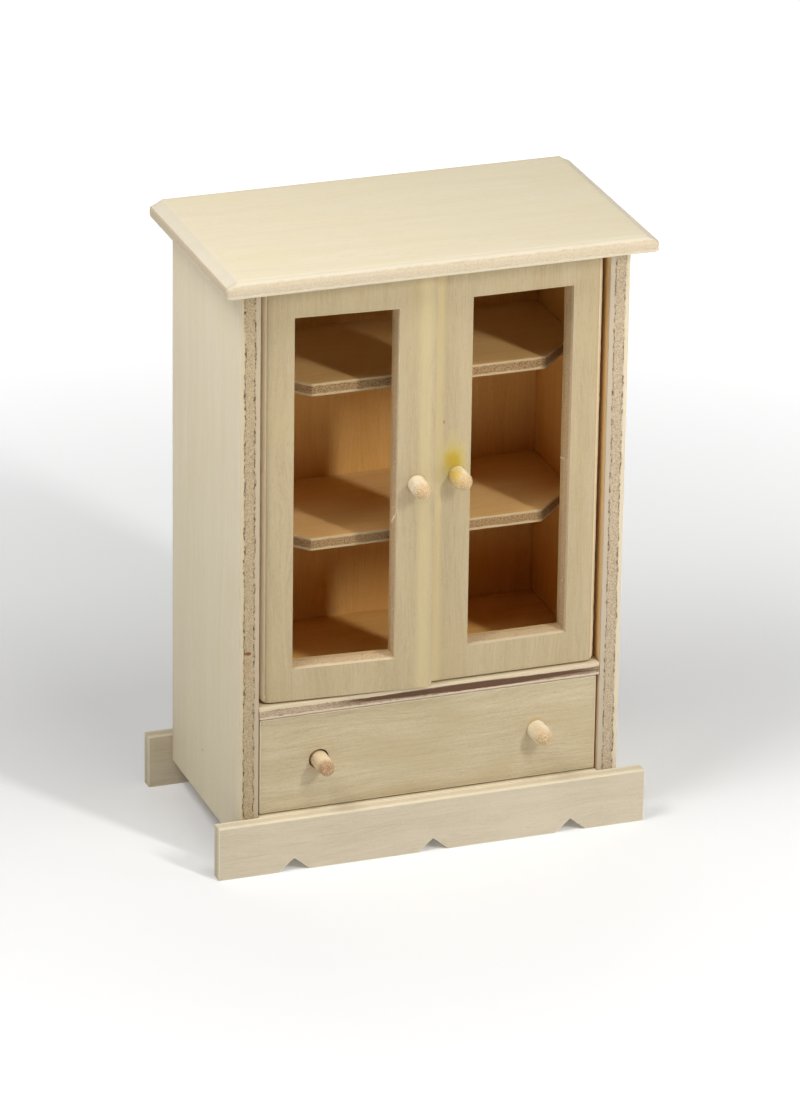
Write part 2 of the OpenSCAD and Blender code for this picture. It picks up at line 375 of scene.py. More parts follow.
def mark_group() -> bpy.types.NodeTree:
    """Builds a soft-edged mark about a centre, with a wavering outline.

    Returns:
        A group that gives a mask, 1 at the centre.
    """
    tree, g, given, out = new_group(
        "mark",
        {"Place": VECTOR, "Centre": VECTOR, "Size": VECTOR, "Softness": FLOAT,
         "Waver": FLOAT},
        {"Mask": FLOAT})
    off = g.add("ShaderNodeVectorMath", {0: given.outputs["Place"],
                                         1: given.outputs["Centre"]},
                operation="SUBTRACT").outputs[0]
    rel = g.add("ShaderNodeVectorMath", {0: off, 1: given.outputs["Size"]},
                operation="DIVIDE").outputs[0]
    reach = g.add("ShaderNodeVectorMath", {0: rel}, operation="LENGTH").outputs["Value"]
    wave = g.math("SUBTRACT", g.noise(rel, MARK_WAVE, MARK_DETAIL), 0.5)
    edge = g.sum(reach, g.math("MULTIPLY", wave, given.outputs["Waver"]))
    full = g.math("SUBTRACT", 1.0, given.outputs["Softness"])
    g.feed(out.inputs["Mask"], g.band(edge, 1.0, full))
    return tree


GRAIN, PLIES, MARK = grain_group(), plies_group(), mark_group()


# ---------------------------------------------------------------------- finishes


@dataclass(frozen=True)
class Mark:
    """A stain, spot, scratch or patch of painted shade on one surface, in the row frame.

    Attributes:
        centre: its middle, in metres.
        size: half its extent along X, Y and Z, in metres.
        colour: what it tints the wood to.
        strength: how far it tints it.
        softness: the share of its reach over which it fades.
        waver: how uneven its outline is.
    """

    centre: Place
    size: Place
    colour: Colour
    strength: float = 0.9
    softness: float = 0.5
    waver: float = 0.6


def start_material(name: str) -> tuple[bpy.types.Material, Graph, bpy.types.Node]:
    """Starts a material with a Principled BSDF.

    Args:
        name: the material's name.

    Returns:
        The material, its graph and its shader node.
    """
    material = bpy.data.materials.new(name)
    material.use_nodes = True
    graph = Graph(material.node_tree)
    return material, graph, material.node_tree.nodes["Principled BSDF"]


def add_marks(g: Graph, colour: bpy.types.NodeSocket, marks: Sequence[Mark]
              ) -> bpy.types.NodeSocket:
    """Lays marks over a colour.

    Args:
        g: the material's graph.
        colour: the colour below the marks.
        marks: the marks, first at the bottom.

    Returns:
        The marked colour.
    """
    if not marks:
        return colour
    place = g.add("ShaderNodeTexCoord").outputs["Object"]
    for mark in marks:
        node = g.group(MARK, place=place, centre=mark.centre, size=mark.size,
                       softness=mark.softness, waver=mark.waver)
        mask = g.math("MULTIPLY", node.outputs["Mask"], mark.strength)
        colour = g.mix(mask, colour, mark.colour)
    return colour


STREAK_RANGE = (0.3, 0.7)
VENEER_SMOOTHER, VENEER_ROUGHER = 0.06, 0.10
VENEER_SHEEN, PLIES_SHEEN = 0.35, 0.25
PLIES_HEIGHTS, PLIES_ROUGH = (0.2, 1.0), (0.86, 0.74)
DOWEL_GRAIN, DOWEL_CONTRAST = (3.0, 1.6, 1.6), 0.85
DOWEL_ENDING, DOWEL_SPECKS, DOWEL_LEAST_SPECK = (0.55, 1.0), (0.3, 0.6), 0.35
DOWEL_SPECK_SCALE, DOWEL_ROUGH, DOWEL_RELIEF = 3.5, (0.46, 0.62), 0.00006
WIRE_DRAWN, WIRE_SHADE, WIRE_ROUGH = (9000.0, 9000.0, 400.0), 0.7, (0.28, 0.45)
FLOOR_ROUGH, FLOOR_SHADE, FLOOR_SCALE = 0.9, 0.985, 3.0
FLOOR_GLOW_FROM, FLOOR_GLOW_TO, FLOOR_LEAST_GLOW = 0.05, 0.50, 0.14
VENEER_BUMP, PLIES_BUMP, DOWEL_BUMP = 0.55, 0.8, 0.6


@dataclass(frozen=True)
class Veneer:
    """The sanded face of a board.

    Attributes:
        name: the material's name.
        light: the palest wood.
        dark: the wood along its grain lines.
        tint: the wood in its warmer patches.
        contrast: how strongly the grain shows.
        rough: the surface roughness.
        relief: the height of the grain, in metres.
        marks: stains, spots and painted shade on it.
    """

    name: str
    light: Colour
    dark: Colour
    tint: Colour
    contrast: float = 0.6
    rough: float = 0.62
    relief: float = 0.00005
    marks: tuple[Mark, ...] = ()

    def make(self) -> bpy.types.Material:
        """Returns the material."""
        material, g, shader = start_material(self.name)
        grain = g.group(GRAIN, place=g.chart(), light=self.light, dark=self.dark,
                        tint=self.tint, contrast=self.contrast)
        g.feed(shader.inputs["Base Color"],
               add_marks(g, grain.outputs["Color"], self.marks))
        g.feed(shader.inputs["Roughness"],
               g.band(grain.outputs["Streak"], *STREAK_RANGE,
                      self.rough - VENEER_SMOOTHER, self.rough + VENEER_ROUGHER))
        shader.inputs["Specular IOR Level"].default_value = VENEER_SHEEN
        g.bump(shader, grain.outputs["Height"], VENEER_BUMP, self.relief)
        return material


@dataclass(frozen=True)
class CutPlies:
    """The sawn edge of a plywood board.

    Attributes:
        name: the material's name.
        first, last: the two outer plies.
        core: the middle ply.
        glue: the glue lines and the dark specks.
        first_line: where the first glue line runs, from 0 to 1 through the board.
        last_line: where the last one runs.
        line_width: half the width of a glue line, as a share of the board.
        dots: how dark the broken glue lines are.
        speckle: how speckled the core is.
        relief: the depth of the roughness, in metres.
        marks: stains, spots and painted shadow on it.
    """

    name: str
    first: Colour
    core: Colour
    last: Colour
    glue: Colour
    first_line: float = 0.26
    last_line: float = 0.74
    line_width: float = 0.06
    dots: float = 0.85
    speckle: float = 0.25
    relief: float = 0.00016
    marks: tuple[Mark, ...] = ()

    def make(self) -> bpy.types.Material:
        """Returns the material."""
        material, g, shader = start_material(self.name)
        plies = g.group(PLIES, place=g.chart(), across=g.across(),
                        first_veneer=self.first, core=self.core,
                        last_veneer=self.last, glue=self.glue,
                        first_line=self.first_line, last_line=self.last_line,
                        line_width=self.line_width, dots=self.dots,
                        speckle=self.speckle)
        g.feed(shader.inputs["Base Color"],
               add_marks(g, plies.outputs["Color"], self.marks))
        g.feed(shader.inputs["Roughness"],
               g.band(plies.outputs["Height"], *PLIES_HEIGHTS, *PLIES_ROUGH))
        shader.inputs["Specular IOR Level"].default_value = PLIES_SHEEN
        g.bump(shader, plies.outputs["Height"], PLIES_BUMP, self.relief)
        return material


@dataclass(frozen=True)
class Dowel:
    """The turned wood of a peg: grain along it, darker end grain, smoothed by handling.

    Attributes:
        name: the material's name.
        light: the palest wood.
        dark: the grain lines.
        end: the end grain.
        marks: stains on it.
    """

    name: str
    light: Colour
    dark: Colour
    end: Colour
    marks: tuple[Mark, ...] = ()

    def make(self) -> bpy.types.Material:
        """Returns the material."""
        material, g, shader = start_material(self.name)
        place = g.chart()
        grain = g.group(GRAIN, place=g.scaled(place, DOWEL_GRAIN), light=self.light,
                        dark=self.dark, tint=self.light, contrast=DOWEL_CONTRAST)
        specks = g.noise(place, DOWEL_SPECK_SCALE, 3.0)
        mask = g.math("MULTIPLY", g.band(g.across(), *DOWEL_ENDING),
                      g.band(specks, *DOWEL_SPECKS, DOWEL_LEAST_SPECK))
        colour = g.mix(mask, grain.outputs["Color"], self.end)
        g.feed(shader.inputs["Base Color"], add_marks(g, colour, self.marks))
        g.feed(shader.inputs["Roughness"],
               g.band(grain.outputs["Streak"], *STREAK_RANGE, *DOWEL_ROUGH))
        g.bump(shader, grain.outputs["Height"], DOWEL_BUMP, DOWEL_RELIEF)
        return material


@dataclass(frozen=True)
class Wire:
    """Drawn steel wire, dulled and lightly scratched along its length.

    Attributes:
        name: the material's name.
        colour: the bare metal.
    """

    name: str
    colour: Colour

    def make(self) -> bpy.types.Material:
        """Returns the material."""
        material, g, shader = start_material(self.name)
        place = g.add("ShaderNodeTexCoord").outputs["Object"]
        drawn = g.noise(g.scaled(place, WIRE_DRAWN), 1.0, 3.0)
        shade = tuple(c * WIRE_SHADE for c in self.colour)
        g.feed(shader.inputs["Base Color"],
               g.mix(g.band(drawn, *STREAK_RANGE), self.colour, shade))
        g.feed(shader.inputs["Roughness"], g.band(drawn, *STREAK_RANGE, *WIRE_ROUGH))
        shader.inputs["Metallic"].default_value = 1.0
        return material


@dataclass(frozen=True)
class Backdrop:
    """A plain matt floor that glows towards its rim, like a light table.

    Attributes:
        name: the material's name.
        colour: the floor's colour.
        glow: its glow far from the cabinet.
    """

    name: str
    colour: Colour
    glow: float

    def make(self) -> bpy.types.Material:
        """Returns the material."""
        material, g, shader = start_material(self.name)
        place = g.add("ShaderNodeTexCoord").outputs["Object"]
        tone = g.noise(place, FLOOR_SCALE)
        shade = tuple(c * FLOOR_SHADE for c in self.colour)
        g.feed(shader.inputs["Base Color"],
               g.mix(g.band(tone, *STREAK_RANGE), self.colour, shade))
        shader.inputs["Roughness"].default_value = FLOOR_ROUGH
        away = g.add("ShaderNodeVectorMath", {0: place}, operation="LENGTH")
        glow = g.band(away.outputs["Value"], FLOOR_GLOW_FROM, FLOOR_GLOW_TO,
                      FLOOR_LEAST_GLOW)
        g.feed(shader.inputs["Emission Color"],
               g.add("ShaderNodeCombineColor", {0: glow, 1: glow, 2: glow}).outputs[0])
        shader.inputs["Emission Strength"].default_value = self.glow
        return material


# ------------------------------------------------------------------------ boards


TINY = 1e-9
STEP_SLACK = 1e-6
WELD, DEGENERATE, PEG_WELD = 1e-6, 1e-7, 1e-8
ARRIS_ANGLE, CREASE_ANGLE = math.radians(38), math.radians(42)
BORE_SIDES = 40
SAW_DRIFT, SAW_PITCH, BITE_PITCH = (3.7, 1.9, 5.3), 0.9 * MM, 3.5 * MM
LEAST_CUT, SAW_MEAN, BITE_SHARE = 0.15, 0.9, 0.5
SKIN = 0.35 * MM
FLAT_NORMAL, SLOPED_NORMAL = 0.97, 0.80
CHART_SEED, CHART_SHIFT = (7919, 17), (400, 400, 40)


def steps(stops: Sequence[float], pitch: float) -> list[float]:
    """Fills the gaps between stops with even steps.

    Args:
        stops: the places that must have a line, in rising order.
        pitch: the widest gap allowed.

    Returns:
        All the lines, in rising order.
    """
    lines = [stops[0]]
    for start, end in zip(stops, stops[1:]):
        count = max(1, math.ceil((end - start) / pitch - STEP_SLACK))
        lines += [start + (end - start) * i / count for i in range(1, count + 1)]
    return lines


@dataclass(frozen=True)
class Bore:
    """A round hole in a board, in the board's own axes.

    Attributes:
        centre: the middle of the drill's stroke.
        axis: the drill's direction.
        radius: the hole's radius.
        depth: the length of the stroke.
    """

    centre: Vector
    axis: Vector
    radius: float
    depth: float


def round_off(bm: bmesh.types.BMesh, edges: Sequence[bmesh.types.BMEdge],
              width: float) -> None:
    """Rounds edges off.

    Args:
        bm: the mesh, changed in place.
        edges: the edges to round.
        width: how far they are rounded.
    """
    bmesh.ops.bevel(bm, geom=edges, offset=width, offset_type="OFFSET", segments=2,
                    profile=0.5, affect="EDGES", clamp_overlap=True)


@dataclass
class Board:
    """One plywood board, built in its own axes and set in the row frame.

    Its first axis runs along the grain, its second across the grain, and its third
    through its thickness. Lengths are in metres.

    Attributes:
        name: the piece's name.
        node: the CAD node that it stands for.
        body: the CAD body that it rides on.
        slot: the record's material slot.
        origin: the corner where all three axes start.
        along, across, through: the three unit axes.
        u_stops, v_stops: where the mesh must have a line.
        thick: the board's thickness.
        solid: whether the board is there, by the middle of a mesh cell.
        warp: moves a mesh point from the plain sheet to the true shape.
        near, far, edge, bevel: the materials of its first face, its last face, its
            cut edges and its bevel.
        holes: the bores to cut.
        arris: how far the edges are eased.
        rough: how deep the saw marks on the cut edges are.
        pitch: the mesh spacing.
        layers: how many mesh cells lie through the thickness.
        seed: sets the board's own grain and saw marks.
        placed: the move from the closed place to the row frame.
    """

    name: str
    node: str
    body: str
    slot: str
    origin: Vector
    along: Vector
    across: Vector
    through: Vector
    u_stops: Sequence[float]
    v_stops: Sequence[float]
    thick: float
    near: bpy.types.Material
    far: bpy.types.Material
    edge: bpy.types.Material
    bevel: Optional[bpy.types.Material] = None
    solid: Callable[[float, float], bool] = lambda u, v: True
    warp: Warp = lambda u, v, w: (u, v, w)
    holes: Sequence[Bore] = ()
    arris: float = 0.00022
    rough: float = 0.00005
    pitch: float = 0.0016
    layers: int = 3
    seed: int = 0
    placed: Matrix = field(default_factory=Matrix)

    def matrix(self) -> Matrix:
        """Returns the matrix from the board's axes to the row frame."""
        turn = Matrix((self.along, self.across, self.through)).transposed().to_4x4()
        return self.placed @ Matrix.Translation(self.origin) @ turn

    def sheet(self) -> bmesh.types.BMesh:
        """Returns the board as a closed mesh of fine cells, in its own axes."""
        us, vs = steps(self.u_stops, self.pitch), steps(self.v_stops, self.pitch)
        ws = [self.thick * k / self.layers for k in range(self.layers + 1)]
        bm = bmesh.new()
        made: dict[tuple[int, int, int], bmesh.types.BMVert] = {}

        def corner(i: int, j: int, k: int) -> bmesh.types.BMVert:
            """Returns the mesh point on three lines, made once."""
            if (i, j, k) not in made:
                made[i, j, k] = bm.verts.new(self.warp(us[i], vs[j], ws[k]))
            return made[i, j, k]

        def filled(i: int, j: int) -> bool:
            """Whether a cell is in the board."""
            if not (0 <= i < len(us) - 1 and 0 <= j < len(vs) - 1):
                return False
            return self.solid((us[i] + us[i + 1]) / 2, (vs[j] + vs[j + 1]) / 2)

        for i in range(len(us) - 1):
            for j in range(len(vs) - 1):
                if not filled(i, j):
                    continue
                ring = ((i, j), (i + 1, j), (i + 1, j + 1), (i, j + 1))
                for k in (0, self.layers):
                    bm.faces.new([corner(a, b, k) for a, b in ring])
                outside = ((i, j - 1), (i + 1, j), (i, j + 1), (i - 1, j))
                for n, cell in enumerate(outside):
                    if filled(*cell):
                        continue
                    (a, b), (c, d) = ring[n], ring[(n + 1) % 4]
                    for k in range(self.layers):
                        bm.faces.new([corner(a, b, k), corner(c, d, k),
                                      corner(c, d, k + 1), corner(a, b, k + 1)])
        bmesh.ops.remove_doubles(bm, verts=bm.verts, dist=WELD)
        bmesh.ops.dissolve_degenerate(bm, dist=DEGENERATE, edges=bm.edges)
        bmesh.ops.recalc_face_normals(bm, faces=bm.faces)
        return bm

    def ease(self, bm: bmesh.types.BMesh) -> None:
        """Rounds the arrises.

        Args:
            bm: the board's mesh, changed in place.
        """
        sharp = [e for e in bm.edges if len(e.link_faces) == 2
                 and e.calc_face_angle(0.0) > ARRIS_ANGLE]
        round_off(bm, sharp, self.arris)

    def roughen(self, bm: bmesh.types.BMesh) -> None:
        """Wears the cut edges inwards with the marks of the saw.

        Args:
            bm: the board's mesh, changed in place.
        """
        bm.normal_update()
        drift = Vector([self.seed * step for step in SAW_DRIFT])
        moves = []
        for v in bm.verts:
            cut = 1.0 - min(1.0, abs(v.normal.z)) ** 2
            if cut < LEAST_CUT:
                continue
            saw = noise.noise(v.co / SAW_PITCH + drift)
            bite = noise.noise(v.co / BITE_PITCH - drift)
            depth = SAW_MEAN + saw + BITE_SHARE * bite
            moves.append((v, -v.normal * self.rough * cut * depth / 2))
        for v, move in moves:
            v.co += move

    def bore(self, obj: bpy.types.Object) -> None:
        """Cuts the holes.

        Args:
            obj: the board's object, with its mesh in its own axes.
        """
        for hole in self.holes:
            bm = bmesh.new()
            bmesh.ops.create_cone(bm, cap_ends=True, segments=BORE_SIDES,
                                  radius1=hole.radius, radius2=hole.radius,
                                  depth=hole.depth)
            turn = Z.rotation_difference(hole.axis).to_matrix().to_4x4()
            bm.transform(Matrix.Translation(hole.centre) @ turn)
            tool = bpy.data.objects.new("bore", bpy.data.meshes.new("bore"))
            bm.to_mesh(tool.data)
            bm.free()
            bpy.context.scene.collection.objects.link(tool)
            cutter = obj.modifiers.new("bore", "BOOLEAN")
            cutter.operation, cutter.solver, cutter.object = "DIFFERENCE", "EXACT", tool
            bpy.context.view_layer.update()
            cut = bpy.data.meshes.new_from_object(
                obj.evaluated_get(bpy.context.evaluated_depsgraph_get()))
            obj.modifiers.clear()
            obj.data = cut
            bpy.data.objects.remove(tool)

    def build(self) -> bpy.types.Object:
        """Builds, dresses and places the board.

        Returns:
            The board's object, riding on its body.
        """
        bm = self.sheet()
        self.ease(bm)
        self.roughen(bm)
        mesh = bpy.data.meshes.new(self.name)
        bm.to_mesh(mesh)
        bm.free()
        obj = bpy.data.objects.new(self.name, mesh)
        bpy.context.scene.collection.objects.link(obj)
        if self.holes:
            self.bore(obj)
            mesh = obj.data
            mesh.name = self.name
        self.chart(mesh)
        mesh.transform(self.matrix())
        bm = bmesh.new()
        bm.from_mesh(mesh)
        bmesh.ops.recalc_face_normals(bm, faces=bm.faces)
        for e in bm.edges:
            e.smooth = e.calc_face_angle(0.0) < CREASE_ANGLE
        bm.to_mesh(mesh)
        bm.free()
        settle(obj, self.body, self.slot, self.node)
        LOG.info("%s: %d faces", self.name, len(mesh.polygons))
        return obj

    def chart(self, mesh: bpy.types.Mesh) -> None:
        """Stores each point's place on the board and gives each face its material.

        Args:
            mesh: the mesh in the board's own axes.
        """
        factor, start = CHART_SEED
        rng = random.Random(self.seed * factor + start)
        shift = Vector([rng.uniform(0, reach) for reach in CHART_SHIFT])
        chart_points(mesh, [v.co / MM + shift for v in mesh.vertices],
                     [v.co.z / self.thick for v in mesh.vertices])
        mesh.materials.clear()
        for material in (self.near, self.far, self.edge, self.bevel or self.edge):
            mesh.materials.append(material)
        for p in mesh.polygons:
            surface = Surface.EDGE
            if p.normal.z < -SLOPED_NORMAL and p.center.z < SKIN:
                surface = Surface.NEAR
            elif p.normal.z > FLAT_NORMAL and p.center.z > self.thick - SKIN:
                surface = Surface.FAR
            elif p.normal.z > SLOPED_NORMAL:
                surface = Surface.BEVEL
            p.material_index = surface.value
            p.use_smooth = True


def chart_points(mesh: bpy.types.Mesh, places: Sequence[Vector],
                 depths: Sequence[float]) -> None:
    """Stores where each point lies on its board, for the materials to read.

    Args:
        mesh: the mesh to chart.
        places: each point's place in millimetres, the grain along X.
        depths: how far through the board each point lies, from 0 to 1.
    """
    mesh.attributes.new("board", "FLOAT_VECTOR", "POINT")
    mesh.attributes.new("across", "FLOAT", "POINT")
    mesh.attributes["board"].data.foreach_set("vector", [x for p in places for x in p])
    mesh.attributes["across"].data.foreach_set("value", depths)


def settle(obj: bpy.types.Object, body: str, slot: str, *nodes: str) -> None:
    """Finishes a piece's shading and ties it to the frame.

    Args:
        obj: the piece, in place.
        body: the CAD body that it rides on.
        slot: the record's material slot; not used.
        nodes: the CAD nodes that it stands for.
    """
    weigh = obj.modifiers.new("shading", "WEIGHTED_NORMAL")
    weigh.keep_sharp = True
    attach(obj, body)
    if nodes:
        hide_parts(*nodes)


def make_piece(name: str, bm: bmesh.types.BMesh, finish: bpy.types.Material, body: str,
               slot: str, *nodes: str, placed: Optional[Matrix] = None,
               chart: Optional[Chart] = None) -> bpy.types.Object:
    """Makes a piece of one material from its mesh.

    Args:
        name: the piece's name.
        bm: its mesh, which is freed.
        finish: its material.
        body: the CAD body that it rides on.
        slot: the record's material slot.
        nodes: the CAD nodes that it stands for.
        placed: the move from where it was built to the row frame.
        chart: gives a point's place in millimetres and its depth from 0 to 1.

    Returns:
        The piece's object, riding on its body.
    """
    mesh = bpy.data.meshes.new(name)
    bm.to_mesh(mesh)
    bm.free()
    if chart:
        charted = [chart(v.co) for v in mesh.vertices]
        chart_points(mesh, [place for place, _ in charted],
                     [depth for _, depth in charted])
    for p in mesh.polygons:
        p.use_smooth = True
    mesh.materials.append(finish)
    if placed is not None:
        mesh.transform(placed)
    obj = bpy.data.objects.new(name, mesh)
    bpy.context.scene.collection.objects.link(obj)
    settle(obj, body, slot, *nodes)
    LOG.info("%s: %d faces", name, len(mesh.polygons))
    return obj


# ------------------------------------------------------------------------- pegs


PEG_WAVES, PEG_DRIFT, PEG_SHIFT = 1.4, 4.1, (13.0, 7.0, 0.0)


@dataclass
class Peg:
    """A dowel knob, standing out of a board along -Y of its own axes.

    Attributes:
        name: the CAD node that the peg stands for.
        body: the CAD body that it rides on.
        base: the middle of the peg on the board's face.
        depth: how far it goes into the board.
        out: how far it stands out.
        radius: its radius in the hole.
        waist: its radius where the end starts to turn in, as a share.
        tip: the radius of its flat end, as a share; 0 for a round end.
        finish: its material.
        seed: sets its small unevenness.
        placed: the move from the closed place to the row frame.
        rings: how many rings its outline has.
        turns: how many points each ring has.
        round_end, flat_end: how long the end's curve is, in radii.
        back_gap: how far its hidden end stays inside the board's back.
        back_ease: how far that end is eased.
        back_share: that end's radius, as a share.
        back_pitch: the spacing of the rings in the hole.
        wave: the length of the unevenness along it.
        uneven: how uneven it is, as a share of its radius.
    """

    name: str
    body: str
    base: Vector
    depth: float
    out: float
    radius: float
    waist: float
    tip: float
    finish: bpy.types.Material
    seed: int
    placed: Matrix = field(default_factory=Matrix)
    rings: int = 28
    turns: int = 40
    round_end: float = 0.95
    flat_end: float = 0.35
    back_gap: float = 0.02 * MM
    back_ease: float = 0.2 * MM
    back_share: float = 0.97
    back_pitch: float = 1.2 * MM
    wave: float = 2.2 * MM
    uneven: float = 0.03

    def outline(self) -> list[tuple[float, float]]:
        """Returns the peg's outline as (distance out from the face, radius) pairs."""
        r = self.radius
        neck, flat, half = r * self.waist, r * self.tip, self.rings // 2
        shoulder = self.out - r * (self.flat_end if self.tip else self.round_end)
        back = -self.depth + self.back_gap
        points = [(back, 0.0), (back, r * self.back_share)]
        points += [(x, r) for x in steps([-self.depth + self.back_ease, 0.0],
                                         self.back_pitch)]
        for i in range(1, half):
            t = i / half
            points.append((shoulder * t, r * (1 + (self.waist - 1) * t * t)))
        for i in range(half + 1):
            a = math.pi / 2 * i / half
            points.append((shoulder + (self.out - shoulder) * math.sin(a),
                           flat + (neck - flat) * math.cos(a)))
        if self.tip:
            points.append((self.out, 0.0))
        return points

    def build(self) -> bpy.types.Object:
        """Builds, dresses and places the peg.

        Returns:
            The peg's object, riding on its body.
        """
        bm = bmesh.new()
        rings = []
        for x, r in self.outline():
            if r < DEGENERATE:
                rings.append([bm.verts.new((0.0, -x, 0.0))])
                continue
            ring = []
            for k in range(self.turns):
                a = 2 * math.pi * k / self.turns
                wobble = noise.noise(Vector((math.cos(a) * PEG_WAVES, x / self.wave,
                                             math.sin(a) * PEG_WAVES
                                             + self.seed * PEG_DRIFT)))
                rr = r * (1 - self.uneven * (0.5 + wobble)) if x > 0 else r
                ring.append(bm.verts.new((rr * math.cos(a), -x, rr * math.sin(a))))
            rings.append(ring)
        for low, high in zip(rings, rings[1:]):
            for k in range(self.turns):
                quad = [low[k % len(low)], low[(k + 1) % len(low)],
                        high[(k + 1) % len(high)], high[k % len(high)]]
                bm.faces.new(list(dict.fromkeys(quad)))
        bmesh.ops.remove_doubles(bm, verts=bm.verts, dist=PEG_WELD)
        bmesh.ops.recalc_face_normals(bm, faces=bm.faces)
        shift = Vector([self.seed * step for step in PEG_SHIFT])
        return make_piece(
            f"{self.name}_dowel", bm, self.finish, self.body, "dowel", self.name,
            placed=self.placed @ Matrix.Translation(self.base),
            chart=lambda co: (Vector((-co.y, co.x, co.z)) / MM + shift,
                              -co.y / self.out))


@dataclass
class Splinter:
    """A torn fibre that stands off a rough edge.

    Attributes:
        name: the piece's name.
        body: the CAD body that it rides on.
        root: where it leaves the wood.
        lean: its direction and length.
        width: its width at the root.
        finish: its material.
        placed: the move from the closed place to the row frame.
        rings: how many rings it has.
        sides: how many points each ring has.
        sunk: how much of it is in the wood, as a share of its length.
        curl: how far its end is bent, as a share of its length.
        taper: how much it thins towards its end.
        flat: its thickness, as a share of its width.
    """

    name: str
    body: str
    root: Vector
    lean: Vector
    width: float
    finish: bpy.types.Material
    placed: Matrix = field(default_factory=Matrix)
    rings: int = 7
    sides: int = 5
    sunk: float = 0.08
    curl: float = 0.22
    taper: float = 0.85
    flat: float = 0.5

    def build(self) -> bpy.types.Object:
        """Builds the fibre as a thin curled spike.

        Returns:
            The fibre's object, riding on its body.
        """
        along = self.lean.normalized()
        side = along.orthogonal().normalized()
        up = along.cross(side)
        bm = bmesh.new()
        rings = []
        for i in range(self.rings):
            t = i / (self.rings - 1)
            middle = self.root + self.lean * (t * (1 + self.sunk) - self.sunk)
            middle += side * (self.lean.length * self.curl * t * t)
            r = self.width / 2 * (1 - self.taper * t)
            rings.append([bm.verts.new(middle + (side * math.cos(a) * r
                                                 + up * math.sin(a) * r * self.flat))
                          for a in (2 * math.pi * k / self.sides
                                    for k in range(self.sides))])
        for low, high in zip(rings, rings[1:]):
            for k in range(self.sides):
                n = (k + 1) % self.sides
                bm.faces.new((low[k], low[n], high[n], high[k]))
        bm.faces.new(list(reversed(rings[0])))
        bm.faces.new(rings[-1])
        bmesh.ops.recalc_face_normals(bm, faces=bm.faces)
        return make_piece(self.name, bm, self.finish, self.body, "pale_ply",
                          placed=self.placed, chart=lambda co: (co / MM, 0.0))


# ------------------------------------------------------------------- wood colours


PALE = (0.765, 0.680, 0.500)
PALE_DARK = (0.670, 0.560, 0.370)
PALE_TINT = (0.730, 0.645, 0.430)
# The doors and the grain of the whole front: the pale ply darkened as painted shade of the
# front.
SHADED_DOOR_WOOD = (0.500, 0.405, 0.252)
FRONT_SHADE_DARK = (0.390, 0.292, 0.152)
FRONT_SHADE_TINT = (0.475, 0.382, 0.210)
# The inside of the cupboard: the pale ply dyed a darker, warm orange as painted shade.
SHADED_INNER = (0.800, 0.490, 0.160)
SHADED_INNER_DARK = (0.580, 0.285, 0.058)
SHADED_INNER_TINT = (0.690, 0.375, 0.095)
GLUE = (0.085, 0.045, 0.020)
INNER_ROUGH = 0.68
# The skirting and the drawer's front: darkened less than the doors, as painted shade of the
# front.
SHADED_SKIRT_WOOD = (0.650, 0.570, 0.430)
SHADED_DRAWER_WOOD = (0.620, 0.525, 0.350)

# Half the extent of a mark that runs right across the cabinet.
WIDE = 1.0
KNOB_STAIN = Mark(centre=(0.0052, -0.0222, 0.0968), size=(0.0046, 0.0040, 0.0086),
                  colour=(0.56, 0.46, 0.13), strength=0.70, softness=0.80, waver=0.8)
KNOB_STAIN_CORE = Mark(centre=(0.0050, -0.0222, 0.0972), size=(0.0032, 0.0040, 0.0050),
                       colour=(0.47, 0.31, 0.020), strength=0.90, softness=0.80, waver=0.9)
KNOB_STAIN_PEG = Mark(centre=(0.0048, -0.0245, 0.0946), size=(0.0026, 0.0042, 0.0024),
                      colour=(0.62, 0.42, 0.04), strength=0.8, softness=0.7, waver=0.6)
MEETING_STREAK = Mark(centre=(0.0012, -0.0222, 0.1050), size=(0.0020, 0.0040, WIDE),
                      colour=(0.60, 0.49, 0.25), strength=0.55, softness=0.9, waver=0.5)
LEFT_STREAK = Mark(centre=(-0.0030, -0.0250, 0.1050), size=(0.0026, 0.0060, WIDE),
                   colour=(0.60, 0.49, 0.25), strength=0.50, softness=0.9, waver=0.5)
DOOR_FLECK = Mark(centre=(0.0025, -0.0222, 0.1074), size=(0.00035, 0.002, 0.0006),
                  colour=(0.30, 0.19, 0.085), strength=0.8, softness=0.5, waver=0.5)
SIDE_DOT = Mark(centre=(-0.0475, 0.0037, 0.0197), size=(0.002, 0.00035, 0.0005),
                colour=(0.34, 0.27, 0.17), strength=0.8, softness=0.6, waver=0.4)
EDGE_FLECK = Mark(centre=(-0.0453, -0.0232, 0.0557), size=(0.0011, 0.002, 0.0006),
                  colour=(0.20, 0.075, 0.028), strength=0.95, softness=0.5, waver=0.6)
EDGE_STAIN = Mark(centre=(-0.0455, -0.0232, 0.0520), size=(0.0012, 0.002, 0.0040),
                  colour=(0.42, 0.26, 0.13), strength=0.45, softness=0.9, waver=0.8)
# The front strip of the inside faces, paler where the painted shade of the inside stops.
FRONT_STRIP = Mark(centre=(0.0, -0.0290, 0.0750), size=(WIDE, 0.0135, WIDE),
                   colour=(0.60, 0.50, 0.32), strength=1.0, softness=0.22, waver=0.05)
# Painted shade: the right side's inside face, seen in the gap beside the right door, dyed
# tan-orange.
GAP_PAINTED_SHADE = Mark(centre=(0.0425, -0.0180, 0.0900), size=(0.0010, 0.0050, WIDE),
               colour=(0.72, 0.44, 0.17), strength=0.95, softness=0.30, waver=0.15)
# Painted shade: the left side's inside face darkened in the gap by the left door's hinge
# edge.
HINGE_GAP_SHADE = Mark(centre=(-0.0425, -0.0190, 0.0900), size=(0.0010, 0.0048, WIDE),
                  colour=(0.30, 0.185, 0.075), strength=0.80, softness=0.40, waver=0.25)
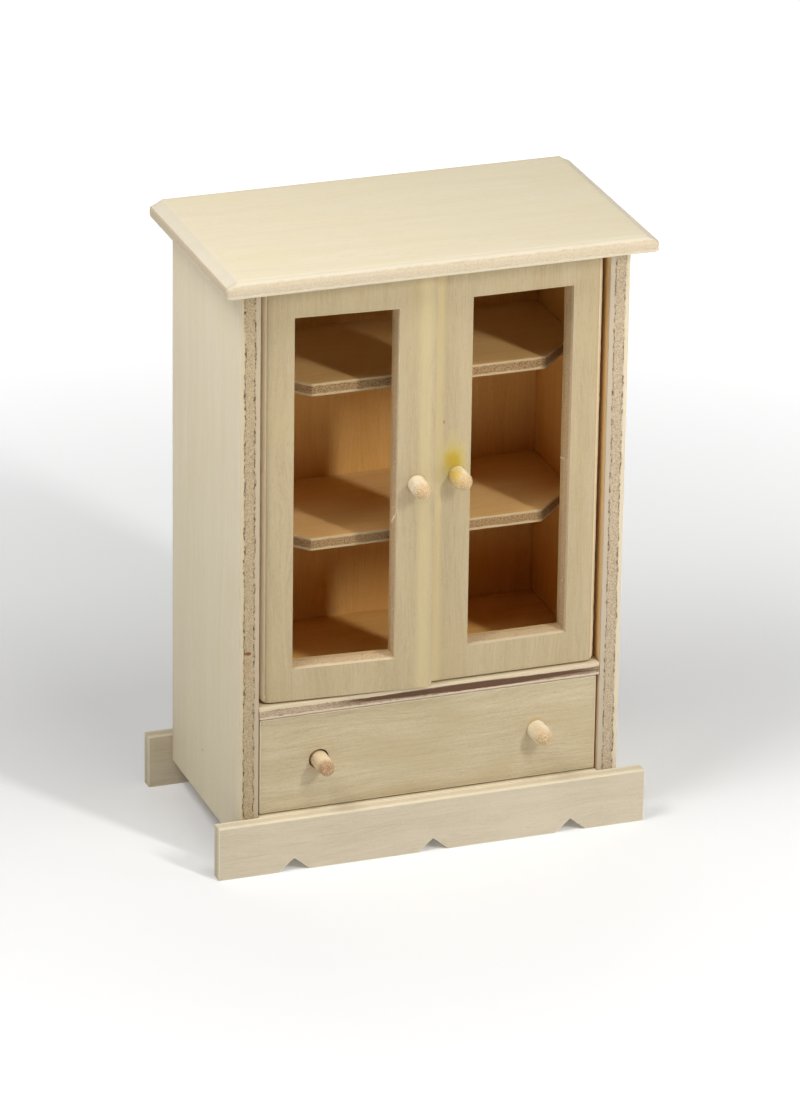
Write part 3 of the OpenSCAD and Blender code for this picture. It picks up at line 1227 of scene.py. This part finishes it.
# A dark band along the rail's front edge: partly the ply's dark core, partly painted
# shadow.
CORE_STREAK_AND_SHADOW = Mark(centre=(0.0110, -0.0232, 0.0398), size=(0.0400, 0.0030, 0.0010),
                   colour=(0.110, 0.050, 0.026), strength=0.95, softness=0.32, waver=0.9)
# Painted shade: the front stretch of the top board's bevel, darker than its sides.
FRONT_BEVEL_SHADE = Mark(centre=(0.0, -0.0302, 0.1480), size=(WIDE, 0.0040, WIDE),
                   colour=(0.62, 0.555, 0.425), strength=0.9, softness=0.3, waver=0.1)
SKIRT_LINES = tuple(Mark(centre=(x, -0.0267, z), size=(0.0075, 0.0020, 0.00016),
                         colour=(0.46, 0.34, 0.20), strength=0.55, softness=0.8, waver=0.4)
                    for x, z in ((-0.0460, 0.0052), (-0.0350, 0.0068),
                                 (-0.0240, 0.0081), (-0.0150, 0.0085)))
PEG_RING = Mark(centre=(0.0272, -0.0224, 0.0262), size=(0.0030, 0.0020, 0.0031),
                colour=(0.60, 0.40, 0.15), strength=0.65, softness=0.45, waver=0.5)


class Finishes:
    """Every material of the cabinet, made once."""

    def __init__(self) -> None:
        """Makes the materials."""
        self.pale = Veneer("pale_birch_veneer", light=PALE, dark=PALE_DARK,
                           tint=PALE_TINT, contrast=0.52).make()
        self.side_out = Veneer("pale_birch_side", light=PALE, dark=PALE_DARK,
                               tint=PALE_TINT, contrast=0.50, marks=(SIDE_DOT,)).make()
        # The skirting, darkened as painted shade of the front.
        self.skirting = Veneer("shaded_skirting_veneer", light=SHADED_SKIRT_WOOD, dark=FRONT_SHADE_DARK, tint=SHADED_SKIRT_WOOD,
                               contrast=0.40, marks=SKIRT_LINES).make()
        # The doors' faces, darkened as painted shade of the front.
        self.door = Veneer("shaded_door_veneer", light=SHADED_DOOR_WOOD, dark=FRONT_SHADE_DARK, tint=FRONT_SHADE_TINT,
                           contrast=0.74,
                           marks=(LEFT_STREAK, MEETING_STREAK, KNOB_STAIN,
                                  KNOB_STAIN_CORE, DOOR_FLECK)).make()
        # The drawer's front, darkened as painted shade of the front.
        self.drawer = Veneer("shaded_drawer_front_veneer", light=SHADED_DRAWER_WOOD, dark=FRONT_SHADE_DARK,
                             tint=FRONT_SHADE_TINT, contrast=0.68, marks=(PEG_RING,)).make()
        # The inside faces of the cupboard, dyed warm orange as painted shade.
        self.inner_shade = self.shaded_veneer("shaded_inner_veneer", FRONT_STRIP)
        self.shade_left = self.shaded_veneer("shaded_left_veneer", FRONT_STRIP, HINGE_GAP_SHADE)
        self.shade_right = self.shaded_veneer("shaded_right_veneer", FRONT_STRIP, GAP_PAINTED_SHADE)
        # The shelves' faces, dyed warm orange as painted shade of the inside.
        self.shaded_shelf_face = Veneer("shaded_shelf_veneer", light=(0.70, 0.47, 0.20), dark=SHADED_INNER_DARK,
                                 tint=(0.66, 0.41, 0.16), contrast=0.5,
                                 rough=INNER_ROUGH).make()
        self.bevel = Veneer("planed_bevel", light=(0.74, 0.67, 0.54), dark=PALE_DARK,
                            tint=PALE, contrast=0.36, relief=0.00012,
                            marks=(FRONT_BEVEL_SHADE,)).make()
        self.fibre = Veneer("torn_fibre", light=(0.78, 0.66, 0.46), dark=PALE, tint=PALE,
                            contrast=0.3).make()
        # The left side's front edge, in plies darker than the right side's as painted
        # shade.
        self.shaded_left_edge = CutPlies(
            "shaded_left_side_plies", first=(0.58, 0.49, 0.335), core=(0.50, 0.390, 0.235),
            last=(0.50, 0.41, 0.285), glue=GLUE, first_line=0.24, last_line=0.73,
            line_width=0.050, dots=0.95, speckle=0.44,
            marks=(EDGE_STAIN, EDGE_FLECK)).make()
        self.side_edge = CutPlies(
            "side_plies", first=(0.70, 0.60, 0.425), core=(0.56, 0.445, 0.300),
            last=(0.52, 0.430, 0.315), glue=GLUE, first_line=0.24, last_line=0.73,
            line_width=0.045, dots=0.85, speckle=0.46).make()
        self.top_edge = CutPlies(
            "top_board_plies", first=(0.63, 0.55, 0.41), core=(0.60, 0.51, 0.365),
            last=(0.66, 0.58, 0.435), glue=(0.44, 0.29, 0.155), first_line=0.20,
            last_line=0.74, line_width=0.07, dots=0.30, speckle=0.34).make()
        self.door_edge = CutPlies(
            "door_plies", first=(0.78, 0.66, 0.45), core=(0.72, 0.55, 0.33),
            last=(0.58, 0.42, 0.21), glue=(0.36, 0.20, 0.085), first_line=0.30,
            last_line=0.80, line_width=0.05, dots=0.35, speckle=0.45,
            relief=0.0003).make()
        # The shelves' cut edges, darker and warmer than the other plies as painted shade of
        # the inside.
        self.shaded_shelf_edge = CutPlies(
            "shaded_shelf_plies", first=(0.58, 0.44, 0.25), core=(0.42, 0.275, 0.13),
            last=(0.60, 0.45, 0.25), glue=(0.16, 0.072, 0.026), first_line=0.22,
            last_line=0.80, line_width=0.05, dots=0.30, speckle=0.80).make()
        self.rail_edge = CutPlies(
            "rail_plies", first=(0.66, 0.52, 0.385), core=(0.52, 0.41, 0.27),
            last=(0.68, 0.565, 0.39), glue=(0.15, 0.065, 0.030), first_line=0.22,
            last_line=0.66, line_width=0.06, dots=0.6, speckle=0.55,
            marks=(CORE_STREAK_AND_SHADOW,)).make()
        self.plain_edge = CutPlies(
            "board_plies", first=PALE, core=(0.68, 0.58, 0.41), last=PALE,
            glue=(0.40, 0.28, 0.16), first_line=0.28, last_line=0.72, line_width=0.05,
            dots=0.25, speckle=0.25).make()
        self.peg = Dowel("turned_dowel", light=(0.87, 0.80, 0.62),
                         dark=(0.64, 0.46, 0.23), end=(0.50, 0.31, 0.13)).make()
        self.dark_peg = Dowel("dark_tipped_dowel", light=(0.80, 0.68, 0.47),
                              dark=(0.52, 0.32, 0.14), end=(0.36, 0.19, 0.075)).make()
        self.stained_peg = Dowel("glue_stained_dowel", light=(0.86, 0.78, 0.56),
                                 dark=(0.62, 0.44, 0.20), end=(0.50, 0.31, 0.12),
                                 marks=(KNOB_STAIN_PEG,)).make()
        self.wire = Wire("pivot_wire", colour=(0.62, 0.61, 0.59)).make()
        self.floor = Backdrop("pale_floor", colour=(0.80, 0.80, 0.80), glow=0.92).make()

    def shaded_veneer(self, name: str, *marks: Mark) -> bpy.types.Material:
        """Returns an inner face of the cupboard in its painted shade, with its own marks.
        """
        return Veneer(name, light=SHADED_INNER, dark=SHADED_INNER_DARK, tint=SHADED_INNER_TINT, contrast=0.55,
                      rough=INNER_ROUGH, marks=marks).make()


# ------------------------------------------------------------------ the cabinet


PIN_RADIUS, PIN_HELD = 0.6 * MM, 2.4 * MM


def node_box(node: str) -> tuple[Vector, Vector]:
    """Returns a CAD node's lowest and highest corners, in metres."""
    low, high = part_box(node)
    return Vector(low), Vector(high)


def pivot(side: Side) -> Vector:
    """Returns a point on a door's pivot axis, at floor height."""
    low, high = node_box(f"{side.name.lower()}_door_pins")
    return Vector(((low.x + high.x) / 2, (low.y + high.y) / 2, 0.0))


def pin_bores(height: float, low: Vector) -> list[Bore]:
    """Returns the bores of the fixed ends of the door pins in a board.

    Args:
        height: the height of the board's face, where the bores start.
        low: the board's lowest corner.
    """
    return [Bore(pivot(side) + Z * height - low, Z, PIN_RADIUS, 2 * PIN_HELD)
            for side in Side]


@dataclass
class Lie:
    """How a node's box is turned into a board's own axes.

    Attributes:
        low, high: the box, in the row frame.
        along: the grain's direction.
        across: the direction across the grain, in the plane of the board.
    """

    low: Vector
    high: Vector
    along: Vector
    across: Vector

    @property
    def through(self) -> Vector:
        """The direction through the board."""
        return self.along.cross(self.across)

    @property
    def origin(self) -> Vector:
        """The corner where the board's own axes start."""
        total = self.along + self.across + self.through
        return Vector([self.low[i] if total[i] > 0 else self.high[i] for i in range(3)])

    def length(self, axis: Vector) -> float:
        """Returns the box's length along one of the board's axes."""
        return abs((self.high - self.low).dot(axis))

    def fields(self) -> dict[str, Any]:
        """Returns the board's place and plain outline as its fields."""
        return {"origin": self.origin, "along": self.along, "across": self.across,
                "through": self.through, "u_stops": (0.0, self.length(self.along)),
                "v_stops": (0.0, self.length(self.across)),
                "thick": self.length(self.through)}


def plain_board(node: str, body: str, slot: str, along: Vector, across: Vector,
                **more: Any) -> Board:
    """Describes a board that fills a node's box.

    Args:
        node: the CAD node.
        body: the CAD body that it rides on.
        slot: the record's material slot.
        along: the grain's direction.
        across: the direction across the grain.
        more: further fields of the board, which win over the box's own.

    Returns:
        The board, not yet built.
    """
    lie = Lie(*node_box(node), along, across)
    return Board(name=f"{node}_ply", node=node, body=body, slot=slot,
                 **{**lie.fields(), **more})


def rounded(du: float, dv: float, radius: float) -> tuple[float, float]:
    """Pulls a point near a square corner in to a round one.

    Args:
        du, dv: its distances from the corner's two edges, both below the radius.
        radius: the radius of the round corner.

    Returns:
        The new distances.
    """
    a, b = radius - du, radius - dv
    pull = max(a, b) / max(math.hypot(a, b), TINY)
    return radius - a * pull, radius - b * pull


@dataclass
class TopBoard:
    """The top board, bevelled at its left, front and right.

    Attributes:
        finishes: the materials.
        bevel_in: the bevel's width, in from the edge.
        bevel_drop: its drop, down from the top face.
        slope_steps: how many mesh cells lie across it.
        swell: how far its sides are hollowed, as a share of the drop.
        corner: the radius of the front corners.
    """

    finishes: Finishes
    bevel_in: float = 3.0 * MM
    bevel_drop: float = 1.6 * MM
    slope_steps: int = 9
    swell: float = 0.09
    corner: float = 1.1 * MM

    def build(self) -> None:
        """Builds the board."""
        low, high = node_box("top_board")
        size = high - low
        ramp = [self.bevel_in * i / self.slope_steps for i in range(self.slope_steps + 1)]
        us = ramp + [size.x - r for r in reversed(ramp)]
        vs = ramp + [size.y]

        def warp(u: float, v: float, w: float) -> Place:
            """Slopes the rim, softens its crease and rounds the front corners."""
            t = min(1.0, min(u, size.x - u) / self.bevel_in)
            side = self.bevel_drop * (1 - t + self.swell * t * math.sin(math.pi * t) ** 2)
            s = 1 - min(1.0, v / self.bevel_in)
            front = self.bevel_drop * (1 - math.sqrt(max(0.0, 1 - s * s * s)))
            height = size.z - min(self.bevel_drop, math.hypot(side, front))
            du, dv = min(u, size.x - u), v
            if du < self.corner and dv < self.corner:
                du, dv = rounded(du, dv, self.corner)
                u, v = (du if u < size.x / 2 else size.x - du), dv
            return u, v, w / size.z * height

        plain_board("top_board", "cabinet", "pale_ply", X, Y,
                    u_stops=sorted(us + [self.corner, size.x - self.corner]),
                    v_stops=sorted(vs + [self.corner]), warp=warp, layers=5,
                    near=self.finishes.pale, far=self.finishes.pale,
                    edge=self.finishes.top_edge, bevel=self.finishes.bevel,
                    holes=pin_bores(low.z, low), rough=0.16 * MM, arris=0.35 * MM,
                    seed=1).build()


@dataclass
class Carcass:
    """The sides, the back, the shelves and the boards under them.

    Attributes:
        finishes: the materials.
        left_clip, right_clip: the size of the shelves' clipped front corners.
        notch_w, notch_h: the width and height of the notches in the skirting.
        notch_pitch: the distance from one notch to the next.
    """

    finishes: Finishes
    left_clip: float = 16.0 * MM
    right_clip: float = 11.5 * MM
    notch_w: float = 7.6 * MM
    notch_h: float = 3.2 * MM
    notch_pitch: float = 34.7 * MM

    def build(self) -> None:
        """Builds every fixed board."""
        f = self.finishes
        plain_board("left_side", "cabinet", "pale_ply", Z, -Y, near=f.side_out,
                    far=f.shade_left, edge=f.shaded_left_edge, rough=0.14 * MM,
                    arris=0.35 * MM, layers=6, seed=2).build()
        plain_board("right_side", "cabinet", "pale_ply", Z, Y, near=f.pale,
                    far=f.shade_right, edge=f.side_edge, rough=0.14 * MM,
                    arris=0.3 * MM, layers=6, seed=3).build()
        plain_board("back_panel", "cabinet", "inner_ply", Z, X, near=f.inner_shade,
                    far=f.pale, edge=f.plain_edge, pitch=3 * MM, seed=4).build()
        for seed, name in ((5, "upper_shelf"), (6, "middle_shelf")):
            self.shelf(name, seed)
        low, high = node_box("cupboard_floor")
        plain_board("cupboard_floor", "cabinet", "inner_ply", X, Y, near=f.inner_shade,
                    far=f.inner_shade, edge=f.rail_edge, rough=0.12 * MM, layers=5,
                    holes=pin_bores(high.z, low), seed=7).build()
        plain_board("base_board", "cabinet", "inner_ply", X, Y, near=f.pale,
                    far=f.inner_shade, edge=f.plain_edge, seed=8).build()
        for seed, name in ((9, "front_skirting"), (10, "rear_skirting")):
            self.skirting(name, seed)

    def shelf(self, name: str, seed: int) -> None:
        """Builds a shelf with clipped front corners.

        Args:
            name: the CAD node.
            seed: the board's own seed.
        """
        low, high = node_box(name)
        width, depth = high.x - low.x, high.y - low.y

        def warp(u: float, v: float, w: float) -> Place:
            """Draws the ends in where the corners are clipped."""
            left = max(0.0, self.left_clip - v)
            right = width - max(0.0, self.right_clip - v)
            return left + (right - left) * u / width, v, w

        plain_board(name, "cabinet", "inner_ply", X, Y, warp=warp,
                    v_stops=(0.0, self.right_clip, self.left_clip, depth),
                    near=self.finishes.shaded_shelf_face, far=self.finishes.shaded_shelf_face,
                    edge=self.finishes.shaded_shelf_edge, rough=0.12 * MM, layers=5,
                    pitch=1.2 * MM, seed=seed).build()

    def skirting(self, name: str, seed: int) -> None:
        """Builds a skirting board with three V-notches in its lower edge.

        Args:
            name: the CAD node.
            seed: the board's own seed.
        """
        low, high = node_box(name)
        length, height = high.x - low.x, high.z - low.z
        middles = [length / 2 + i * self.notch_pitch for i in (-1, 0, 1)]
        stops = sorted({0.0, length, *middles, *(m - self.notch_w / 2 for m in middles),
                        *(m + self.notch_w / 2 for m in middles)})

        def warp(u: float, v: float, w: float) -> Place:
            """Lifts the lower edge into the notches."""
            off = min(abs(u - m) for m in middles)
            lift = max(0.0, 1 - off / (self.notch_w / 2)) * self.notch_h
            return u, lift + v * (1 - lift / height), w

        plain_board(name, "cabinet", "pale_ply", X, Z, warp=warp, u_stops=stops,
                    near=self.finishes.skirting, far=self.finishes.skirting,
                    edge=self.finishes.plain_edge, pitch=1.1 * MM, seed=seed,
                    arris=0.3 * MM).build()


ROD_RIM = 1.2
FIBRE_DEPTHS, FIBRE_LEAN = (0.6, 3.5), (-0.75, -0.15, 0.7)


@dataclass
class Door:
    """One windowed door, hung on wire pins, with its dowel knob.

    Attributes:
        finishes: the materials.
        side: which door it is.
        open_angle: how far it stands open at rest, in radians about +Z.
        hinge_stile, meeting_stile, rail: the widths of the window's frame.
        corner: the radius of its two corners on the hinge side.
        knob_inset: how far the knob stands from the meeting edge.
        knob_radius: the knob's radius.
        knob_slack: how much wider its hole is, on the radius.
        knob_waist: the knob's radius at its shoulder, as a share.
        knob_out: how far it stands out.
        pin_radius, pin_depth: the holes for the pins.
        pin_gap: how far short of the hole's end a pin stops.
        pin_ease: how far the ends of the pins are eased.
        pin_sides: how many sides a pin's mesh has.
        bullnose_steps, corner_steps: how fine the rounded edge and corners are.
        leaf_seed, knob_seed, fibre_seed: the first seeds of its pieces.
        torn_at: the height of its long torn fibre, in millimetres.
        torn_size: that fibre's length and width, in millimetres.
        fibre_heights, fibre_lengths: the ranges of the short ones, in millimetres.
        fibre_width: their width, in millimetres.
        fibre_count: how many there are.
    """

    finishes: Finishes
    side: Side
    torn_at: float
    open_angle: float = 0.0
    hinge_stile: float = 8.0 * MM
    meeting_stile: float = 9.0 * MM
    rail: float = 8.0 * MM
    corner: float = 2.0 * MM
    knob_inset: float = 4.25 * MM
    knob_radius: float = 2.2 * MM
    knob_slack: float = 0.06 * MM
    knob_waist: float = 0.97
    knob_out: float = 6.25 * MM
    pin_radius: float = 0.65 * MM
    pin_depth: float = 4.85 * MM
    pin_gap: float = 0.05 * MM
    pin_ease: float = 0.12 * MM
    pin_sides: int = 24
    bullnose_steps: int = 9
    corner_steps: int = 4
    leaf_seed: int = 11
    knob_seed: int = 20
    fibre_seed: int = 90
    torn_size: tuple[float, float] = (2.4, 0.34)
    fibre_heights: tuple[float, float] = (56, 132)
    fibre_lengths: tuple[float, float] = (0.5, 1.2)
    fibre_width: float = 0.2
    fibre_count: int = 5

    @property
    def word(self) -> str:
        """The side's name."""
        return self.side.name.lower()

    @property
    def body(self) -> str:
        """The CAD body of the leaf."""
        return f"{self.word}_door_leaf"

    @property
    def placed(self) -> Matrix:
        """The move from the closed place to the row frame."""
        centre = pivot(self.side)
        return (Matrix.Translation(centre) @ Matrix.Rotation(self.open_angle, 4, "Z")
                @ Matrix.Translation(-centre))

    def build(self) -> None:
        """Builds the leaf, its knob, its pins and its loose fibres."""
        low, high = node_box("right_door")
        if self.side is Side.LEFT:
            low.x, high.x = -high.x, -low.x
        width, height, thick = high.x - low.x, high.z - low.z, high.y - low.y
        hinged_left = self.side is Side.LEFT
        first = self.hinge_stile if hinged_left else self.meeting_stile
        last = width - (self.meeting_stile if hinged_left else self.hinge_stile)
        radius = thick / 2

        def inward(v: float) -> float:
            """Returns the distance from the hinge edge."""
            return v if hinged_left else width - v

        def warp(u: float, v: float, w: float) -> Place:
            """Rounds the hinge edge and its two corners."""
            if max(inward(v), min(u, height - u)) < self.corner:
                far_v, far_u = rounded(inward(v), min(u, height - u), self.corner)
                v = far_v if hinged_left else width - far_v
                u = far_u if u < height / 2 else height - far_u
            gap = radius - min(inward(v), radius)
            half = math.sqrt(max(0.0, radius * radius - gap * gap))
            return u, v, radius + (2 * w / thick - 1) * half

        curve = [radius * (1 - math.cos(math.pi / 2 * i / self.bullnose_steps))
                 for i in range(self.bullnose_steps + 1)] + [self.corner]
        vs = {0.0, first, last, width} | {c if hinged_left else width - c for c in curve}
        corner_stops = [self.corner * i / self.corner_steps
                        for i in range(self.corner_steps + 1)]
        us = {0.0, self.rail, height - self.rail, height, *corner_stops,
              *(height - c for c in corner_stops)}
        knob = Vector((self.knob_centre_z - low.z, self.knob_v(width), radius))
        hinge_v = radius if hinged_left else width - radius
        holes = [Bore(knob, Z, self.knob_radius + self.knob_slack, thick * 2)]
        holes += [Bore(Vector((u, hinge_v, radius)), X, self.pin_radius,
                       2 * self.pin_depth) for u in (0.0, height)]
        plain = Lie(low, high, Z, X).fields()
        plain.update(u_stops=sorted(us), v_stops=sorted(vs))
        Board(name=f"{self.word}_door_ply", node=f"{self.word}_door", body=self.body,
              slot="pale_ply", **plain, warp=warp, holes=holes, layers=6,
              solid=lambda u, v: not (self.rail < u < height - self.rail
                                      and first < v < last),
              near=self.finishes.door, far=self.finishes.inner_shade,
              edge=self.finishes.door_edge, rough=0.22 * MM, arris=0.28 * MM,
              pitch=1.0 * MM, seed=self.leaf_seed + self.side.value,
              placed=self.placed).build()
        self.knob(low, high)
        self.pins()
        self.fibres(low, last)

    @property
    def knob_centre_z(self) -> float:
        """The height of the knob's middle."""
        low, high = node_box("right_door")
        return (low.z + high.z) / 2

    def knob_v(self, width: float) -> float:
        """Returns the knob's distance from the leaf's left edge."""
        return width - self.knob_inset if self.side is Side.LEFT else self.knob_inset

    def knob(self, low: Vector, high: Vector) -> None:
        """Builds the knob.

        Args:
            low, high: the closed leaf's box.
        """
        base = Vector((low.x + self.knob_v(high.x - low.x), low.y, self.knob_centre_z))
        finish = self.finishes.peg if self.side is Side.LEFT else self.finishes.stained_peg
        Peg(name=f"{self.word}_door_knob", body=self.body, base=base,
            depth=high.y - low.y, out=self.knob_out, radius=self.knob_radius,
            waist=self.knob_waist, tip=0.0, finish=finish,
            seed=self.knob_seed + self.side.value, placed=self.placed).build()

    def pins(self) -> None:
        """Builds the two wire pins, upper and lower, as one piece."""
        node = f"{self.word}_door_pins"
        low, high = node_box(node)
        middle = (low + high) / 2
        radius = (high.x - low.x) / 2
        door_low, door_top = node_box("right_door")
        reach = self.pin_depth - self.pin_gap
        bm = bmesh.new()
        for start, end in ((low.z, door_low.z + reach), (door_top.z - reach, high.z)):
            rod = bmesh.ops.create_cone(bm, cap_ends=True, segments=self.pin_sides,
                                        radius1=radius, radius2=radius,
                                        depth=end - start)
            bmesh.ops.translate(bm, verts=rod["verts"],
                                vec=(middle.x, middle.y, (start + end) / 2))
        round_off(bm, [e for e in bm.edges if e.calc_face_angle(0.0) > ROD_RIM],
                  self.pin_ease)
        make_piece(f"{node}_wire", bm, self.finishes.wire, "cabinet", "pin_wire", node)

    def fibres(self, low: Vector, edge: float) -> None:
        """Builds the torn fibres at one side of the window.

        Args:
            low: the closed leaf's lowest corner.
            edge: the window's right side, from the leaf's left edge.
        """
        rng = random.Random(self.fibre_seed + self.side.value)
        spots = [(self.torn_at, *self.torn_size)]
        spots += [(rng.uniform(*self.fibre_heights), rng.uniform(*self.fibre_lengths),
                   self.fibre_width) for _ in range(self.fibre_count)]
        for i, (z, size, width) in enumerate(spots):
            root = Vector((low.x + edge, low.y + rng.uniform(*FIBRE_DEPTHS) * MM, z * MM))
            across, out, rise = FIBRE_LEAN
            lean = Vector((across, out, rng.choice((-rise, rise)))).normalized()
            Splinter(name=f"{self.word}_door_fibre_{i}", body=self.body, root=root,
                     lean=lean * size * MM, width=width * MM,
                     finish=self.finishes.fibre, placed=self.placed).build()


@dataclass
class Drawer:
    """The drawer: its front, its box and its two dowel knobs.

    Attributes:
        finishes: the materials.
        knob_radius: the radius of the right knob, and of both drilled holes.
        thin_radius: the radius of the left knob, which is loose in its hole.
        thin_waist, thin_tip: the left knob's shoulder and flat end, as shares.
        knob_waist: the right knob's shoulder, as a share.
        knob_out: how far they stand out.
        knob_pitch: the distance between them.
        loose: how far the left hole lies off its knob, across and up.
        left_slack, right_slack: how much wider the holes are, on the radius.
        bore_stroke: the length of the drill's stroke.
    """

    finishes: Finishes
    knob_radius: float = 2.4 * MM
    thin_radius: float = 2.12 * MM
    thin_waist: float = 0.86
    thin_tip: float = 0.50
    knob_waist: float = 0.98
    knob_out: float = 6.2 * MM
    knob_pitch: float = 54.4 * MM
    loose: tuple[float, float] = (-0.176 * MM, 0.24 * MM)
    left_slack: float = 0.1 * MM
    right_slack: float = 0.06 * MM
    bore_stroke: float = 20 * MM

    def hole(self, knob: Vector, low: Vector, side: Side) -> Bore:
        """Returns a knob's hole.

        Args:
            knob: the middle of the knob on the board's face.
            low: the board's lowest corner.
            side: which knob it is.
        """
        left = side is Side.LEFT
        across, up = self.loose if left else (0.0, 0.0)
        slack = self.left_slack if left else self.right_slack
        return Bore(Vector((knob.x - low.x + across, knob.z - low.z + up, 0.0)), Z,
                    self.knob_radius + slack, self.bore_stroke)

    def build(self) -> None:
        """Builds the drawer."""
        f = self.finishes
        low, high = node_box("drawer_front")
        height = (low.z + high.z) / 2
        knobs = {side: Vector((side.value * self.knob_pitch / 2, low.y, height))
                 for side in Side}
        holes = [self.hole(knob, low, side) for side, knob in knobs.items()]
        plain_board("drawer_front", "drawer", "pale_ply", X, Z, near=f.pale,
                    far=f.drawer, edge=f.plain_edge, holes=holes, arris=0.3 * MM,
                    seed=14).build()
        for seed, node, along, across in ((15, "drawer_left_side", Y, Z),
                                          (16, "drawer_right_side", Y, Z),
                                          (17, "drawer_back", X, Z),
                                          (18, "drawer_bottom", X, Y)):
            plain_board(node, "drawer", "inner_ply", along, across, near=f.pale,
                        far=f.pale, edge=f.plain_edge, pitch=3 * MM, seed=seed).build()
        common = {"body": "drawer", "depth": high.y - low.y, "out": self.knob_out}
        Peg(name="drawer_left_knob", base=knobs[Side.LEFT], radius=self.thin_radius,
            waist=self.thin_waist, tip=self.thin_tip, finish=f.dark_peg, seed=31,
            **common).build()
        Peg(name="drawer_right_knob", base=knobs[Side.RIGHT], radius=self.knob_radius,
            waist=self.knob_waist, tip=0.0, finish=f.peg, seed=32, **common).build()


# --------------------------------------------------------------- light and camera


@dataclass(frozen=True)
class SoftLight:
    """A flat soft light that faces the cabinet.

    Attributes:
        name: the light's name.
        azimuth: its direction, in degrees from the front towards +X.
        elevation: its height, in degrees.
        distance: how far away it is, in metres.
        size: its width and height, in metres.
        power: its power, in watts.
        colour: its colour.
    """

    name: str
    azimuth: float
    elevation: float
    distance: float
    size: tuple[float, float]
    power: float
    colour: Colour = (1.0, 1.0, 1.0)

    def build(self, target: Vector) -> None:
        """Adds the light.

        Args:
            target: the point that it faces.
        """
        a, e = math.radians(self.azimuth), math.radians(self.elevation)
        away = Vector((math.sin(a) * math.cos(e), -math.cos(a) * math.cos(e), math.sin(e)))
        data = bpy.data.lights.new(self.name, "AREA")
        data.shape = "RECTANGLE"
        data.size, data.size_y = self.size
        data.energy, data.color = self.power, self.colour
        obj = bpy.data.objects.new(self.name, data)
        obj.location = target + away * self.distance
        obj.rotation_euler = (-away).to_track_quat("-Z", "Y").to_euler()
        bpy.context.scene.collection.objects.link(obj)


@dataclass
class Studio:
    """The floor, the world, the lights and the camera.

    Attributes:
        finishes: the materials.
        world: the colour of the light from all round.
        world_strength: its strength.
        lights: the lights.
        target: the point that they face.
        aim: the point that the camera looks at.
        azimuth, elevation, roll: the camera's direction, in degrees.
        distance: how far it stands from its aim.
        lens, sensor: its focal length and sensor width, in millimetres.
        far: how far it sees.
        floor_radius: the floor's radius, in metres.
        floor_sides: how many sides the floor has.
    """

    finishes: Finishes
    world: Colour = (1.0, 1.0, 1.0)
    world_strength: float = 0.006
    lights: tuple[SoftLight, ...] = (
        SoftLight("key_upper_left", azimuth=-67.0, elevation=56.0, distance=0.48,
                  size=(0.2, 0.2), power=1.40),
        SoftLight("front_strip", azimuth=25.0, elevation=34.0, distance=0.70,
                  size=(0.05, 0.22), power=2.20),
        SoftLight("front_top", azimuth=12.0, elevation=66.0, distance=0.6,
                  size=(0.2, 0.2), power=0.85),
        SoftLight("low_right", azimuth=58.0, elevation=8.0, distance=0.32,
                  size=(0.12, 0.12), power=0.18),
        SoftLight("back_fill", azimuth=165.0, elevation=30.0, distance=0.7,
                  size=(0.4, 0.4), power=0.5),
    )
    target: Place = (0.0, 0.0, 0.075)
    aim: Vector = field(default_factory=lambda: Vector((0.97, 2.07, 65.56)) * MM)
    azimuth: float = 20.0
    elevation: float = 23.17
    roll: float = 0.84
    distance: float = 1554.6 * MM
    lens: float = 215.07
    sensor: float = 36.0
    far: float = 50.0
    floor_radius: float = 6.0
    floor_sides: int = 96

    def build(self) -> None:
        """Builds the studio."""
        self.build_floor()
        world = bpy.data.worlds.new("studio")
        world.use_nodes = True
        sky = world.node_tree.nodes["Background"]
        sky.inputs["Color"].default_value = (*self.world, 1.0)
        sky.inputs["Strength"].default_value = self.world_strength
        bpy.context.scene.world = world
        for light in self.lights:
            light.build(Vector(self.target))
        self.build_camera()
        bpy.context.scene.view_settings.view_transform = "Standard"

    def build_floor(self) -> None:
        """Adds the floor, a large disc just under the cabinet."""
        bm = bmesh.new()
        bmesh.ops.create_circle(bm, cap_ends=True, segments=self.floor_sides,
                                radius=self.floor_radius)
        mesh = bpy.data.meshes.new("floor")
        bm.to_mesh(mesh)
        bm.free()
        mesh.materials.append(self.finishes.floor)
        floor = bpy.data.objects.new("floor", mesh)
        bpy.context.scene.collection.objects.link(floor)

    def build_camera(self) -> None:
        """Adds the camera, which looks down on the cabinet from its front left."""
        a, e = math.radians(self.azimuth), math.radians(self.elevation)
        forward = Vector((math.sin(a) * math.cos(e), math.cos(a) * math.cos(e),
                          -math.sin(e)))
        level = forward.cross(Z).normalized()
        up = level.cross(forward)
        roll = math.radians(self.roll)
        right = level * math.cos(roll) + up * math.sin(roll)
        turn = Matrix((right, right.cross(forward), -forward)).transposed().to_4x4()
        data = bpy.data.cameras.new("camera")
        data.sensor_width, data.lens = self.sensor, self.lens
        data.clip_end = self.far
        camera = bpy.data.objects.new("camera", data)
        camera.matrix_world = Matrix.Translation(self.aim - forward * self.distance) @ turn
        bpy.context.scene.collection.objects.link(camera)
        bpy.context.scene.camera = camera


def main() -> None:
    """Builds the cabinet and its studio."""
    logging.basicConfig(level=logging.INFO, format="%(name)s: %(message)s")
    finishes = Finishes()
    TopBoard(finishes).build()
    Carcass(finishes).build()
    Door(finishes, Side.LEFT, torn_at=86.2, open_angle=math.radians(-4.0)).build()
    Door(finishes, Side.RIGHT, torn_at=93.0, knob_inset=5.75 * MM).build()
    Drawer(finishes).build()
    Studio(finishes).build()


if __name__ == "__main__":
    main()
